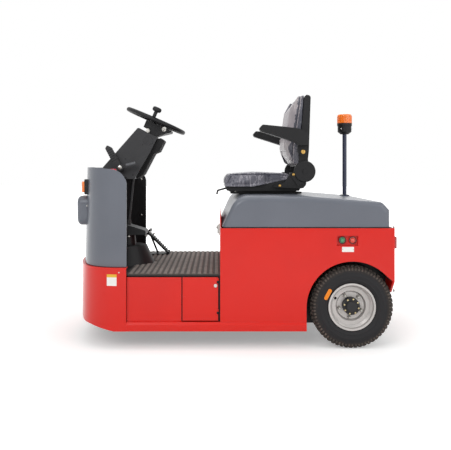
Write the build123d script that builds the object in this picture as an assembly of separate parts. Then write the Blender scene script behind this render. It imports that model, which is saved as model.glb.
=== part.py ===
from build123d import *
import os
from math import atan2, cos, degrees, radians, sin, sqrt

# Electric tow tractor with three wheels and a seat, in millimetres.
# +X is forward, +Y is left, +Z is up. The origin is on the ground, half way along the machine.

# Whole machine
half_length = 878.5
half_width = 460.0
gap = 0.3
moving_gap = 5.5
sheet = 5.0

# Wheels
tyre_radius = 209.0
tyre_width = 112.0
rim_radius = 119.0
rim_width = 84.0
tread_half_width = 42.0
nut_circle_radius = 59.0
nut_hole_radius = 8.0
nut_count = 5
hub_radius = 43.0
hub_cap_radius = 28.0
nut_turn = 60.0
valve_hole_turn = 26.0
valve_hole_radius = 7.0
disc_y = 6.0
wheel_inset = 68.0
wheel_centre_y = half_width - wheel_inset
rear_overhang = 210.0
front_overhang = 236.0
spindle_radius = 17.5
bearing_gap = 0.35

# Front body and cowl
nose_front_radius = 1023.0
nose_corner_radius = 210.0
nose_wall = 9.0
nose_length = 291.0
nose_rear_x = half_length - nose_length
front_axle_x = half_length - front_overhang
nose_top_z = 410.0
nose_bottom_z = 92.0
nose_bottom_front_z = 128.0
nose_ledge_width = 42.0
cowl_inset = 14.0
cowl_bottom_z = 413.0
cowl_top_z = 914.0
cowl_slope_z = 897.0
cowl_corner_radius = 85.0
cowl_slope_length = 180.0
cowl_lean = 12.0
dash_top_z = 862.0
dash_rear_x = nose_rear_x + 49.5

# Lamps on the nose
lamp_y = 215.0
lamp_z = 685.0
lamp_setback = 5.5
lamp_length = 93.0
lamp_half_width = 74.0
lamp_half_height = 78.0
lamp_corner = 40.0
lamp_face_fillet = 22.0
lens_radius = 50.0
lens_depth = 14.0
turn_lamp_y = 272.0
turn_lamp_z = 811.0
turn_lamp_width = 68.0
turn_lamp_height = 80.0
turn_lamp_setback = 36.0
turn_lamp_depth = 58.5
turn_lens_margin = 8.0
turn_lens_height = 15.0

# Floor, step and sills
floor_top_z = 372.0
floor_sheet = 6.0
mat_thickness = 5.0
step_inset = 18.0
step_side_y = half_width - step_inset
step_top_z = 360.5
sill_bottom_z = 92.0
sill_face_top_z = 125.0
sill_top_z = 137.0
door_seam_x = 306.0
frame_inset = 32.0
frame_side_y = half_width - frame_inset
frame_plate = 8.0
frame_low_z = 100.0
frame_front_x = half_length - 78.5
nose_rail_y = 250.0
battery_height = 490.0
axle_tube_radius = 42.0
cross_front_x = nose_rear_x - 182.5
pedal_inset = 120.0
brake_y = -185.0

# Rear body
body_front_x = 116.5
coupler_length = 120.0
body_rear_x = coupler_length - half_length
rear_axle_x = body_rear_x + rear_overhang
body_inset = 8.0
body_side_y = half_width - body_inset
body_top_z = 608.0
front_panel_top_z = 669.0
arch_radius = 232.0
arch_tail_angle = 42.0
guard_low_z = 240.0
back_plate = 10.0
back_bottom_z = 275.0
back_corner_z = 340.0
back_corner = 62.0
tail_lamp_inset = 42.0
tail_lamp_width = 80.0
tail_lamp_height = 60.0
tail_lamp_depth = 22.0
tail_lamp_z = 500.0
rear_rail_y = 300.0
deck_z = 560.0
lamp_pocket_x = rear_axle_x + 26.5
lamp_pocket_z = 545.0
lamp_pocket_length = 106.0
lamp_pocket_height = 50.0
lamp_pocket_depth = 13.0

# Hood
hood_bottom_z = 613.5
hood_top_z = 770.0
hood_rear_z = 735.0
hood_front_x = 106.0
hood_front_top_x = 34.0
hood_rear_x = body_rear_x + 19.0
hood_inset = 5.0
hood_side_y = body_side_y - hood_inset
hood_slope_x = -307.5
hood_edge_radius = 30.0
hood_hinge_x = body_rear_x + 8.5
hood_hinge_z = 620.0
hood_pin_radius = 4.0

# Seat
seat_half_width = 228.0
seat_front_x = 114.5
half_backrest = 218.0
rail_y = 150.0
rail_height = 11.0
rail_width = 34.0
rail_front_x = 60.0
rail_rear_x = -330.0
recliner_x = -336.5
recliner_z = 892.0
recliner_radius = 57.0
recliner_y = 234.0
recliner_pin_radius = 12.0
back_top_z = 1306.0
armrest_pivot_x = recliner_x + 18.0
armrest_pivot_z = recliner_z + 103.0
armrest_y = 290.0
armrest_width = 54.0
armrest_pin_radius = 7.0

# Steering
column_tilt = 23.3
wheel_z = 1179.5
wheel_ring_radius = 168.0
wheel_grip_radius = 12.0
wheel_hub_radius = 34.0
steering_shaft_radius = 10.0
column_front_x = nose_rear_x + 180.5
wheel_x = column_front_x - 286.5
column_low_z = 850.0
column_high_z = 1160.0
column_half_low = 110.0
column_half_high = 82.0
stop_button_y = 214.0
kingpin_radius = 20.0
kingpin_bore_radius = 20.35
fork_crown_z = 434.0
fork_crown = 16.0
well_top_z = 474.0
well_wall = 4.0
well_floor_radius = 153.0
well_top_radius = 106.0

# Tow coupler
coupler_bore_radius = 14.0
coupler_end_radius = 40.0
coupler_bore_x = coupler_end_radius - half_length
coupler_top_z = 394.0
coupler_ear = 20.0
coupler_jaw = 54.0

# Beacon
beacon_x = body_rear_x + 121.0
beacon_y = -200.0
beacon_pole_radius = 12.5
beacon_base_radius = 41.0
beacon_lens_radius = 43.0
beacon_top_z = 1235.0
beacon_lens_height = 58.0

nodes = {}


def outline(corners):
    """Closed outline from corners given as (across, up, corner radius)."""
    face = make_face(Polyline(*[(across, up) for across, up, _ in corners], close=True))
    for across, up, radius in corners:
        if radius:
            face = fillet(face.vertices().sort_by_distance((across, up, 0))[0], radius)
    return face


def along_x(face, low, high):
    return extrude(Plane.YZ.offset(low) * face, high - low)


def along_y(face, low, high):
    return extrude(Plane.XZ.offset(-high) * face, high - low)


def along_z(face, low, high):
    return extrude(Plane.XY.offset(low) * face, high - low)


def block(x_low, x_high, y_low, y_high, z_low, z_high):
    centre = Pos((x_low + x_high) / 2, (y_low + y_high) / 2, (z_low + z_high) / 2)
    return centre * Box(x_high - x_low, y_high - y_low, z_high - z_low)


def round_x(y, z, radius, low, high):
    return extrude(Plane.YZ.offset(low) * Pos(y, z) * Circle(radius), high - low)


def round_y(x, z, radius, low, high):
    return extrude(Plane.XZ.offset(-high) * Pos(x, z) * Circle(radius), high - low)


def round_z(x, y, radius, low, high):
    return extrude(Plane.XY.offset(low) * Pos(x, y) * Circle(radius), high - low)


def mirrored(solid):
    return mirror(solid, Plane.XZ)


def both_sides(solid):
    return solid + mirrored(solid)


def rod(start, end, radius):
    axis = Vector(*end) - Vector(*start)
    return extrude(Plane(origin=start, z_dir=axis) * Circle(radius), axis.length)


# Wheels


def tyre_section():
    """Right half plane: across is the radius, up is the way along the axle."""
    half = tyre_width / 2
    shoulder = tyre_radius - 14
    bead = rim_radius - 6
    rim_half = rim_width / 2
    tread = ThreePointArc(
        (tyre_radius - 5, -tread_half_width), (tyre_radius, 0), (tyre_radius - 5, tread_half_width)
    )
    upper = Polyline((tyre_radius - 5, tread_half_width), (shoulder, tread_half_width + 8))
    upper_wall = ThreePointArc(
        (shoulder, tread_half_width + 8), (rim_radius + 44, half), (rim_radius + 2, rim_half - 1)
    )
    inside = Polyline(
        (rim_radius + 2, rim_half - 1),
        (bead, rim_half - 6),
        (bead, -rim_half + 6),
        (rim_radius + 2, -rim_half + 1),
    )
    lower_wall = ThreePointArc(
        (rim_radius + 2, -rim_half + 1), (rim_radius + 44, -half), (shoulder, -tread_half_width - 8)
    )
    lower = Polyline((shoulder, -tread_half_width - 8), (tyre_radius - 5, -tread_half_width))
    return make_face(tread + upper + upper_wall + inside + lower_wall + lower)


def tyre():
    """Tyre about +Y at the origin."""
    return revolve(Plane.XY * tyre_section(), Axis.Y)


def rim():
    """Dished steel rim about +Y, outer side at +Y, with nut holes and hand holes."""
    lip = rim_width / 2
    seat = rim_radius - 6.4
    well = seat - 12
    wall = 4.0
    section = make_face(
        Polyline(
            (seat, lip - 5),
            (rim_radius + 0.5, lip - 0.5),
            (rim_radius + 0.5, lip + 3),
            (seat - 3, lip + 3),
            (seat - wall, lip - 8),
            (seat - wall, 22),
            (well - wall, 12),
            (well - wall, disc_y + wall),
            (nut_circle_radius + 18, disc_y + wall),
            (nut_circle_radius + 10, disc_y - 14 + wall),
            (hub_radius + 0.5, disc_y - 14 + wall),
            (hub_radius + 0.5, disc_y - 14),
            (nut_circle_radius + 14, disc_y - 14),
            (nut_circle_radius + 20, disc_y - 2),
            (well - wall, disc_y - 4),
            (well - wall, -12),
            (seat - wall, -22),
            (seat - wall, -lip + 8),
            (seat - 3, -lip - 3),
            (rim_radius + 0.5, -lip - 3),
            (rim_radius + 0.5, -lip + 0.5),
            (seat, -lip + 5),
            (seat, -20),
            (well, -10),
            (well, 10),
            (seat, 20),
            close=True,
        )
    )
    body = revolve(Plane.XY * section, Axis.Y)
    hand_radius = (well - wall + nut_circle_radius + 20) / 2
    for index in range(nut_count):
        turn = radians(360 / nut_count * index + nut_turn)
        x, z = nut_circle_radius * cos(turn), nut_circle_radius * sin(turn)
        body -= round_y(x, z, nut_hole_radius, -30, 30)
    turn = radians(valve_hole_turn)
    body -= round_y(hand_radius * cos(turn), hand_radius * sin(turn), valve_hole_radius, -30, 30)
    return body


def rear_hub():
    """Turning hub with its flange, wheel nuts and black bearing cap, outer side at +Y."""
    face_y = disc_y - 14
    flange = round_y(0, 0, nut_circle_radius + 14, face_y - 12, face_y)
    barrel = round_y(0, 0, hub_radius, -50, 30)
    cap = round_y(0, 0, hub_cap_radius, 29, 42)
    cap = chamfer(cap.faces().sort_by(Axis.Y)[-1].edges(), 3)
    hub = flange + barrel + cap
    for index in range(nut_count):
        turn = radians(360 / nut_count * index + nut_turn)
        x, z = nut_circle_radius * cos(turn), nut_circle_radius * sin(turn)
        hub += round_y(x, z, nut_hole_radius - 1, face_y - 1, face_y + 22)
        hub += extrude(
            Plane.XZ.offset(-(face_y + 18)) * Pos(x, z) * RegularPolygon(9.5, 6), 18 - 4
        )
    return hub - round_y(0, 0, spindle_radius + bearing_gap, -60, 20)


def front_hub():
    """Hub of the steered wheel, between the fork legs."""
    face_y = disc_y - 14
    flange = round_y(0, 0, nut_circle_radius + 14, face_y - 12, face_y)
    barrel = round_y(0, 0, hub_radius, -52, 52)
    hub = flange + barrel
    for index in range(nut_count):
        turn = radians(360 / nut_count * index + nut_turn)
        x, z = nut_circle_radius * cos(turn), nut_circle_radius * sin(turn)
        hub += round_y(x, z, nut_hole_radius - 1, face_y - 1, face_y + 20)
    return hub - round_y(0, 0, spindle_radius + bearing_gap, -60, 60)


def build_wheels():
    for side, sign in (("left", 1), ("right", -1)):
        place = Pos(rear_axle_x, sign * wheel_centre_y, tyre_radius)
        for name, solid in (("tyre", tyre()), ("rim", rim()), ("hub", rear_hub())):
            seated = solid if sign > 0 else mirrored(solid)
            nodes[f"rear_{name}_{side}"] = place * seated
    place = Pos(front_axle_x, 0, tyre_radius)
    nodes["front_tyre"] = place * tyre()
    nodes["front_rim"] = place * rim()
    nodes["front_hub"] = place * front_hub()


# Steered fork, its well and the steering gear


def build_fork():
    leg_inner = tyre_width / 2 + 9
    leg_outer = leg_inner + 12
    leg = outline(
        [
            (front_axle_x - 34, tyre_radius, 30),
            (front_axle_x - 34, tyre_radius - 34, 30),
            (front_axle_x + 34, tyre_radius - 34, 30),
            (front_axle_x + 34, tyre_radius, 30),
            (front_axle_x + 42, fork_crown_z + fork_crown, 6),
            (front_axle_x - 42, fork_crown_z + fork_crown, 6),
        ]
    )
    fork = both_sides(along_y(leg, leg_inner, leg_outer))
    crown = block(
        front_axle_x - 41, front_axle_x + 41, -leg_outer, leg_outer, fork_crown_z,
        fork_crown_z + fork_crown,
    )
    fork += crown
    fork += round_z(front_axle_x, 0, kingpin_radius, fork_crown_z + fork_crown, well_top_z + 58)
    fork += round_y(front_axle_x, tyre_radius, spindle_radius, -leg_outer - 8, leg_outer + 8)
    nodes["front_fork"] = fork + both_sides(
        round_y(front_axle_x, tyre_radius, spindle_radius + 8, leg_outer, leg_outer + 10)
    )


def build_well():
    """Round cover over the steered wheel, with the kingpin bearing on top."""
    floor_low = floor_top_z - floor_sheet
    bearing_radius = kingpin_radius + 22
    section = make_face(
        Polyline(
            (well_floor_radius, floor_low),
            (well_top_radius, well_top_z - well_wall),
            (bearing_radius, well_top_z - well_wall),
            (bearing_radius, well_top_z - 12),
            (kingpin_bore_radius, well_top_z - 12),
            (kingpin_bore_radius, well_top_z + 60),
            (bearing_radius, well_top_z + 60),
            (bearing_radius + 6, well_top_z),
            (well_top_radius + 2, well_top_z),
            (well_floor_radius + well_wall, floor_low),
            close=True,
        )
    )
    nodes["wheel_well"] = Pos(front_axle_x, 0, 0) * revolve(Plane.XZ * section, Axis.Z)


def build_steering_gear():
    """Reduction gear on the kingpin, with a sloping top, and the shaft up to the column."""
    low = well_top_z + 60 + gap
    case = outline(
        [
            (front_axle_x - 108, low, 4),
            (front_axle_x + 62, low, 4),
            (front_axle_x + 62, low + 52, 14),
            (front_axle_x + 4, low + 58, 12),
            (front_axle_x - 108, low + 24, 10),
        ]
    )
    shaft_low = (front_axle_x - 2, 0, low + 50)
    shaft_high = (front_axle_x - 31, 0, column_low_z + 12)
    shaft = rod(shaft_low, shaft_high, 9) + round_z(shaft_low[0], 0, 16, low + 50, low + 80)
    nodes["steering_gear"] = along_y(case, -62, 62) + shaft - nodes["column_cover"]


# Front body


def nose_plan(inset, rear_x, lean=0.0):
    """Plan outline of the nose, moved inward by inset and back by lean."""
    centre_x = half_length - nose_front_radius - lean
    reach = nose_front_radius - nose_corner_radius
    corner_y = half_width - nose_corner_radius
    corner_x = centre_x + sqrt(reach**2 - corner_y**2)
    angle = degrees(atan2(corner_y, corner_x - centre_x))
    side_y = half_width - inset
    corner_radius = nose_corner_radius - inset
    left = Line((rear_x, side_y), (corner_x, side_y))
    left_corner = CenterArc((corner_x, corner_y), corner_radius, 90, angle - 90)
    front = CenterArc((centre_x, 0), nose_front_radius - inset, angle, -2 * angle)
    right_corner = CenterArc((corner_x, -corner_y), corner_radius, -angle, angle - 90)
    right = Line((corner_x, -side_y), (rear_x, -side_y))
    back = Line((rear_x, -side_y), (rear_x, side_y))
    return make_face(left + left_corner + front + right_corner + right + back)


def cowl_block(inset, rear_x):
    low = Plane.XY.offset(cowl_bottom_z) * nose_plan(inset, rear_x)
    high = Plane.XY.offset(cowl_top_z + 10) * nose_plan(inset, rear_x, cowl_lean)
    return loft([low, high])


def build_front_body():
    shell = along_z(nose_plan(0, nose_rear_x), nose_bottom_z, nose_top_z)
    cut_low = outline(
        [
            (nose_rear_x + 60, nose_bottom_z - 20, 0),
            (half_length + 20, nose_bottom_z - 20, 0),
            (half_length + 20, nose_bottom_front_z, 0),
            (nose_rear_x + 190, nose_bottom_front_z - 10, 90),
            (nose_rear_x + 60, nose_bottom_z - 1, 0),
        ]
    )
    shell -= along_y(cut_low, -half_width - 10, half_width + 10)
    hollow = along_z(nose_plan(nose_wall, nose_rear_x - 10), nose_bottom_z - 1, nose_top_z - 6)
    window = along_z(nose_plan(nose_wall + nose_ledge_width, nose_rear_x - 10), 0, nose_top_z + 10)
    nodes["front_body"] = shell - hollow - window
    cowl = cowl_block(cowl_inset, nose_rear_x) - cowl_block(cowl_inset + sheet, nose_rear_x - 10)
    side = outline(
        [
            (nose_rear_x - 1, cowl_bottom_z - 2, 0),
            (half_length + 20, cowl_bottom_z - 2, 0),
            (half_length + 20, cowl_top_z, 0),
            (nose_rear_x + cowl_slope_length, cowl_top_z, 0),
            (nose_rear_x - 1, cowl_slope_z, cowl_corner_radius),
        ]
    )
    nodes["front_cowl"] = cowl & along_y(side, -half_width, half_width)
    seal = along_z(nose_plan(cowl_inset + 1, nose_rear_x + 2), nose_top_z, cowl_bottom_z)
    seal -= along_z(nose_plan(cowl_inset + 12, nose_rear_x - 10), nose_top_z - 1, cowl_bottom_z + 1)
    nodes["cowl_seal"] = seal
    plan = nose_plan(cowl_inset + sheet + gap, nose_rear_x, cowl_lean)
    slot_half = column_half_width(dash_top_z - 4) + gap
    slot = block(
        nose_rear_x, column_front_x + gap, -slot_half, slot_half, dash_top_z - 5, dash_top_z + 1
    )
    behind = block(
        nose_rear_x - 1, dash_rear_x, -half_width, half_width, dash_top_z - 5, dash_top_z + 1
    )
    nodes["dash"] = along_z(plan, dash_top_z - 4, dash_top_z) - slot - behind


def build_lamps():
    """Head lamps and turn lamps on the nose, cut to seat on the curved cowl."""
    seat = cowl_block(cowl_inset - gap, nose_rear_x)
    lamp_front_x = half_length - lamp_setback
    pod = outline(
        [
            (lamp_y - lamp_half_width, lamp_z + lamp_half_height, lamp_corner),
            (lamp_y + lamp_half_width, lamp_z + lamp_half_height, lamp_corner),
            (lamp_y + lamp_half_width - 12, lamp_z - lamp_half_height, lamp_corner),
            (lamp_y - lamp_half_width + 12, lamp_z - lamp_half_height, lamp_corner),
        ]
    )
    housing = along_x(pod, lamp_front_x - lamp_length, lamp_front_x)
    housing = fillet(housing.faces().sort_by(Axis.X)[-1].edges(), lamp_face_fillet)
    recess_x = lamp_front_x - lens_depth
    lens_z = lamp_z + 6
    housing -= round_x(lamp_y, lens_z, lens_radius + gap, recess_x, lamp_front_x + 1)
    housing -= seat
    lens = round_x(lamp_y, lens_z, lens_radius, recess_x, lamp_front_x - 1)
    nodes["headlamp_housings"] = both_sides(housing)
    nodes["headlamp_lenses"] = both_sides(lens)
    base = Pos(turn_lamp_y, turn_lamp_z) * RectangleRounded(turn_lamp_width, turn_lamp_height, 10)
    face_x = half_length - cowl_inset - turn_lamp_setback
    holder = along_x(base, face_x - turn_lamp_depth, face_x) - seat
    lens_face = Pos(turn_lamp_y, turn_lamp_z) * RectangleRounded(
        turn_lamp_width - 2 * turn_lens_margin, turn_lamp_height - 2 * turn_lens_margin - 6, 8
    )
    amber = along_x(lens_face, face_x + gap, face_x + turn_lens_height)
    amber = fillet(amber.faces().sort_by(Axis.X)[-1].edges(), 4)
    nodes["turn_lamp_bases"] = both_sides(holder)
    nodes["turn_lamp_lenses"] = both_sides(amber)


# Column, levers, pedals


def column_half_width(z):
    """Half width of the column cover, which narrows upward."""
    share = (z - column_low_z) / (column_high_z - column_low_z)
    return column_half_low + share * (column_half_high - column_half_low)


def wheel_plane():
    tilt = radians(column_tilt)
    return Plane(
        origin=(wheel_x, 0, wheel_z), x_dir=(cos(tilt), 0, sin(tilt)), z_dir=(-sin(tilt), 0, cos(tilt))
    )


def build_column():
    side = outline(
        [
            (column_front_x, column_low_z, 10),
            (column_front_x, column_low_z + 64, 8),
            (column_front_x - 194, column_low_z + 288, 12),
            (column_front_x - 302, column_low_z + 231, 12),
            (column_front_x - 264, column_low_z + 152, 40),
            (column_front_x - 178, column_low_z, 4),
        ]
    )
    cover = along_y(side, -column_half_low, column_half_low)
    front_view = outline(
        [
            (-column_half_low, column_low_z, 0),
            (column_half_low, column_low_z, 0),
            (column_half_high, column_high_z, 24),
            (-column_half_high, column_high_z, 24),
        ]
    )
    cover &= along_x(front_view, column_front_x - 368, column_front_x + 32)
    strip_profile = outline(
        [
            (column_front_x - 190, column_low_z + 2, 3),
            (column_front_x - 221, column_low_z + 24, 6),
            (column_front_x - 282, column_low_z + 142, 8),
            (column_front_x - 310, column_low_z + 153, 10),
            (column_front_x - 340, column_low_z + 214, 8),
            (column_front_x - 321, column_low_z + 229, 6),
            (column_front_x - 302, column_low_z + 224, 3),
            (column_front_x - 264, column_low_z + 152, 8),
            (column_front_x - 178, column_low_z + 2, 3),
        ]
    )
    strip = along_y(strip_profile, -70, 70) - cover
    boss_y = column_half_high + 12
    boss = round_y(column_front_x - 252, column_low_z + 214, 26, -boss_y, boss_y)
    nodes["column_cover"] = cover + boss
    nodes["column_rear_trim"] = strip - nodes["column_cover"]
    head = make_face(
        Polyline(
            (44, -18), (44, -60), (18, -62), (14, -96), (-46, -96), (-42, -80), (-68, -59), (-109, -30),
            (-109, -18), close=True
        )
    )
    body = extrude(wheel_plane() * Plane.XZ.offset(-70) * head, 140)
    body -= wheel_plane() * Pos(0, 0, -36) * Cylinder(steering_shaft_radius + gap, 52)
    nodes["column_head"] = body - nodes["column_cover"]


def build_steering_wheel():
    plane = wheel_plane()
    ring = plane * Torus(wheel_ring_radius, wheel_grip_radius)
    hub = plane * Pos(0, 0, 0) * Cylinder(wheel_hub_radius, 24)
    hub = fillet(hub.faces().sort_by(Axis.Z)[-1].edges(), 6)
    hub += plane * Pos(0, 0, -35) * Cylinder(steering_shaft_radius, 48)
    spoke_face = make_face(
        Polyline((20, -22), (wheel_ring_radius - 2, -11), (wheel_ring_radius - 2, 11), (20, 22), close=True)
    )
    wheel = ring + hub
    for angle in (90, 210, 330):
        spoke = Pos(0, 0, -4) * Rot(0, 0, angle) * extrude(spoke_face, 7)
        wheel += plane * spoke
    nodes["steering_wheel_rim"] = wheel
    stem_low = wheel_grip_radius + gap
    cap = Pos(0, 0, stem_low + 42) * Cylinder(25, 26)
    cap = fillet(cap.edges(), 11)
    knob = cap + Pos(0, 0, stem_low + 16) * Cylinder(10, 32)
    nodes["spinner_knob"] = plane * Pos(0, wheel_ring_radius, 0) * knob


def build_controls():
    lever_y = 128.0
    pivot_x = column_front_x - 100
    pivot_z = column_low_z + 58
    brake = outline(
        [
            (pivot_x - 14, pivot_z - 18, 8),
            (pivot_x + 16, pivot_z - 12, 8),
            (pivot_x + 80, pivot_z + 110, 6),
            (pivot_x + 70, pivot_z + 128, 6),
            (pivot_x + 46, pivot_z + 116, 6),
            (pivot_x - 8, pivot_z + 16, 8),
        ]
    )
    lever = along_y(brake, lever_y - 6, lever_y + 16)
    hub = round_y(pivot_x, pivot_z, 15, 100, lever_y - 6)
    direction = outline(
        [
            (pivot_x - 8, pivot_z + 18, 6),
            (pivot_x - 88, pivot_z + 36, 8),
            (pivot_x - 92, pivot_z + 20, 8),
            (pivot_x - 12, pivot_z, 6),
        ]
    )
    short = along_y(direction, lever_y + 16, lever_y + 30)
    short += round_y(pivot_x - 4, pivot_z + 6, 17, lever_y + 15, lever_y + 34)
    nodes["control_levers"] = lever + (hub - nodes["column_cover"]) + short
    stop_x = column_front_x - 74
    stop = round_z(stop_x, stop_button_y, 11, dash_top_z, dash_top_z + 26)
    stop += round_z(stop_x, stop_button_y, 16, dash_top_z, dash_top_z + 10)
    cap = round_z(stop_x, stop_button_y, 20, dash_top_z + 26, dash_top_z + 44)
    cap = fillet(cap.faces().sort_by(Axis.Z)[-1].edges(), 8)
    nodes["stop_button"] = stop + cap


def build_pedals():
    mat_top = floor_top_z + mat_thickness
    pedal_x = nose_rear_x - 155.5
    pivot_x = nose_rear_x + 160.5
    pivot_z = floor_top_z + 200
    pedal_y = pedal_inset - step_side_y
    plate = outline(
        [
            (pedal_x, mat_top + 14, 3),
            (pedal_x + 8, mat_top + 8, 3),
            (pedal_x + 134, mat_top + 132, 5),
            (pedal_x + 122, mat_top + 140, 5),
        ]
    )
    pedal = along_y(plate, pedal_y - 36, pedal_y + 36)
    pedal += round_y(pedal_x + 4, mat_top + 11, 6, pedal_y - 40, pedal_y + 40)
    stay = rod((pedal_x + 113, pedal_y, mat_top + 116), (pedal_x + 68, pedal_y, mat_top + 6), 6)
    base = block(pedal_x - 8, pedal_x + 108, pedal_y - 44, pedal_y + 44, mat_top, mat_top + 6)
    for start in (pedal_y - 44, pedal_y + 36):
        base += block(pedal_x - 4, pedal_x + 12, start, start + 8, mat_top, mat_top + 20)
    nodes["accelerator_pedal"] = pedal + stay + base
    arm = outline(
        [
            (pivot_x + 12, pivot_z - 12, 8),
            (pivot_x + 12, pivot_z + 12, 8),
            (pivot_x - 108, pivot_z - 6, 20),
            (pivot_x - 200, pivot_z - 40, 8),
            (pivot_x - 196, pivot_z - 64, 8),
            (pivot_x - 98, pivot_z - 28, 20),
        ]
    )
    lever = along_y(arm, brake_y - 6, brake_y + 6)
    pad = outline(
        [
            (pivot_x - 188, pivot_z - 72, 5),
            (pivot_x - 180, pivot_z - 64, 5),
            (pivot_x - 212, pivot_z - 24, 6),
            (pivot_x - 226, pivot_z - 32, 6),
        ]
    )
    lever += along_y(pad, brake_y - 42, brake_y + 42)
    lever += round_y(pivot_x, pivot_z, 16, brake_y - 20, brake_y + 20)
    bracket = round_y(pivot_x, pivot_z, 7, brake_y - 30, brake_y + 30)
    for start in (brake_y - 30, brake_y + 21):
        bracket += block(pivot_x - 16, pivot_x + 16, start, start + 9, floor_top_z, pivot_z + 28)
    lever -= round_y(pivot_x, pivot_z, 7 + gap, brake_y - 30, brake_y + 30)
    nodes["brake_pedal"] = lever + bracket


# Floor, frame, step and sills


def build_floor():
    low = floor_top_z - floor_sheet
    opening = round_z(front_axle_x, 0, well_floor_radius + well_wall + gap, low - 30, floor_top_z + 30)
    plate = block(body_front_x - 18, nose_rear_x, -step_side_y, step_side_y, low, floor_top_z)
    front_plan = nose_plan(nose_wall + gap, nose_rear_x)
    plate += along_z(front_plan, low, floor_top_z)
    nodes["floor_plate"] = plate - opening
    mat = block(
        body_front_x + 1, nose_rear_x - 2, -step_side_y, step_side_y, floor_top_z,
        floor_top_z + mat_thickness,
    )
    nodes["floor_mat"] = mat - opening


def build_frame():
    low = frame_low_z
    high = floor_top_z - floor_sheet
    side_inner = frame_side_y - frame_plate
    arch_front_x = rear_axle_x + arch_radius
    side = block(arch_front_x, nose_rear_x - 8, side_inner, frame_side_y, low, high)
    side -= block(142, 292, side_inner - 1, frame_side_y + 1, 160, 345)
    frame = both_sides(side)
    cross = [
        (cross_front_x, low, high),
        (body_front_x - 18, low, high),
        (arch_front_x, low, deck_z),
    ]
    for x, z_low, z_high in cross:
        frame += block(x, x + frame_plate, -side_inner - 1, side_inner + 1, z_low, z_high)
    frame += block(arch_front_x, cross_front_x + frame_plate, -side_inner - 1, side_inner + 1, low - 6, low)
    rear_side = outline(
        [
            (body_rear_x + back_plate, 300, 0),
            (body_rear_x + back_plate, deck_z, 0),
            (arch_front_x + 2, deck_z, 0),
            (arch_front_x + 2, low, 0),
            (rear_axle_x + 120, low, 30),
            (rear_axle_x + 60, 150, 30),
            (rear_axle_x - 60, 150, 30),
        ]
    )
    rail = along_y(rear_side, rear_rail_y, rear_rail_y + frame_plate)
    rail -= round_y(
        rear_axle_x, tyre_radius, axle_tube_radius + gap, rear_rail_y - 10, rear_rail_y + 20
    )
    frame += both_sides(rail)
    nose_rail = block(cross_front_x, frame_front_x, nose_rail_y, nose_rail_y + frame_plate, 130, high)
    frame += both_sides(nose_rail)
    deck = block(
        body_rear_x + back_plate, arch_front_x + frame_plate, -body_side_y + sheet + gap,
        body_side_y - sheet - gap, deck_z, deck_z + 4,
    )
    deck -= block(
        lamp_pocket_x - 70, lamp_pocket_x + 70, body_side_y - 30, body_side_y, 500, 600
    )
    nodes["chassis_frame"] = frame + deck + both_sides(door_hinge_pins())


def build_sills():
    profile = outline(
        [
            (frame_side_y + gap, sill_bottom_z, 0),
            (half_width, sill_bottom_z, 2),
            (half_width, sill_face_top_z, 2),
            (half_width - 8, sill_top_z, 2),
            (frame_side_y + gap, sill_top_z, 0),
        ]
    )
    rear_x = rear_axle_x + arch_radius
    sill = along_x(profile, rear_x, nose_rear_x - gap)
    nodes["sills"] = both_sides(sill)


def build_step_sides():
    face = outline(
        [
            (door_seam_x + moving_gap, sill_top_z, 0),
            (nose_rear_x - gap, sill_top_z, 0),
            (nose_rear_x - gap, step_top_z, 0),
            (door_seam_x + moving_gap, step_top_z, 0),
        ]
    )
    panel = along_y(face, step_side_y - sheet, step_side_y)
    for x in (door_seam_x + moving_gap + 10, nose_rear_x - 40):
        panel += block(x, x + 24, frame_side_y + gap, step_side_y - sheet, 160, 345)
    nodes["step_panels"] = both_sides(panel)


# Service doors in the step sides

door_hinge_x = body_front_x + 10.5
door_hinge_y = step_side_y - 2
door_knuckle_radius = 4.0
door_pin_radius = 2.0
door_low_z = sill_top_z + moving_gap
hinge_heights = (175.0, 330.0)
hinge_length = 26.0


def door_hinge_pins():
    """Fixed halves of the left door's hinges, with their pins."""
    pins = Part()
    for height in hinge_heights:
        middle = height + hinge_length / 2
        pins += round_z(door_hinge_x, door_hinge_y, door_knuckle_radius, height, middle - gap)
        pins += round_z(door_hinge_x, door_hinge_y, door_pin_radius, height, middle + 12)
        pins += block(
            door_hinge_x - 2, door_hinge_x + 2, frame_side_y - 1, door_hinge_y, height, middle - gap
        )
    return pins


def build_doors():
    door = block(door_hinge_x, door_seam_x, step_side_y - sheet, step_side_y, door_low_z, step_top_z)
    lock_x = door_seam_x - 11.5
    lock_z = 257.0
    door += round_y(lock_x, lock_z, 7, step_side_y - sheet - 3, step_side_y + 2)
    for height in hinge_heights:
        middle = height + hinge_length / 2
        door -= block(
            door_hinge_x - 6, door_hinge_x + 7, frame_side_y, half_width, height - 1,
            height + hinge_length + 1,
        )
        door += round_z(door_hinge_x, door_hinge_y, door_knuckle_radius, middle, middle + 12)
        door += block(
            door_hinge_x, door_hinge_x + 8, step_side_y - sheet, step_side_y, middle, middle + 12
        )
        door -= round_z(door_hinge_x, door_hinge_y, door_pin_radius + gap, height, middle + 13)
    nodes["service_door_left"] = door
    nodes["service_door_right"] = mirrored(door)


# Rear body


def arch_face(radius, tail_x):
    """Area of the wheel arch: a disc, with its straight tail going down to the rear."""
    tail = radians(arch_tail_angle)
    axle_z = tyre_radius
    touch = (rear_axle_x - radius * sin(tail), axle_z + radius * cos(tail))
    run = touch[0] - tail_x
    end_z = touch[1] - run * sin(tail) / cos(tail)
    disc = Pos(rear_axle_x, axle_z) * Circle(radius)
    wedge = make_face(
        Polyline(
            touch, (tail_x, end_z), (tail_x, 0), (rear_axle_x + radius, 0), (rear_axle_x + radius, axle_z),
            (rear_axle_x, axle_z), close=True,
        )
    )
    return disc + wedge


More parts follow.
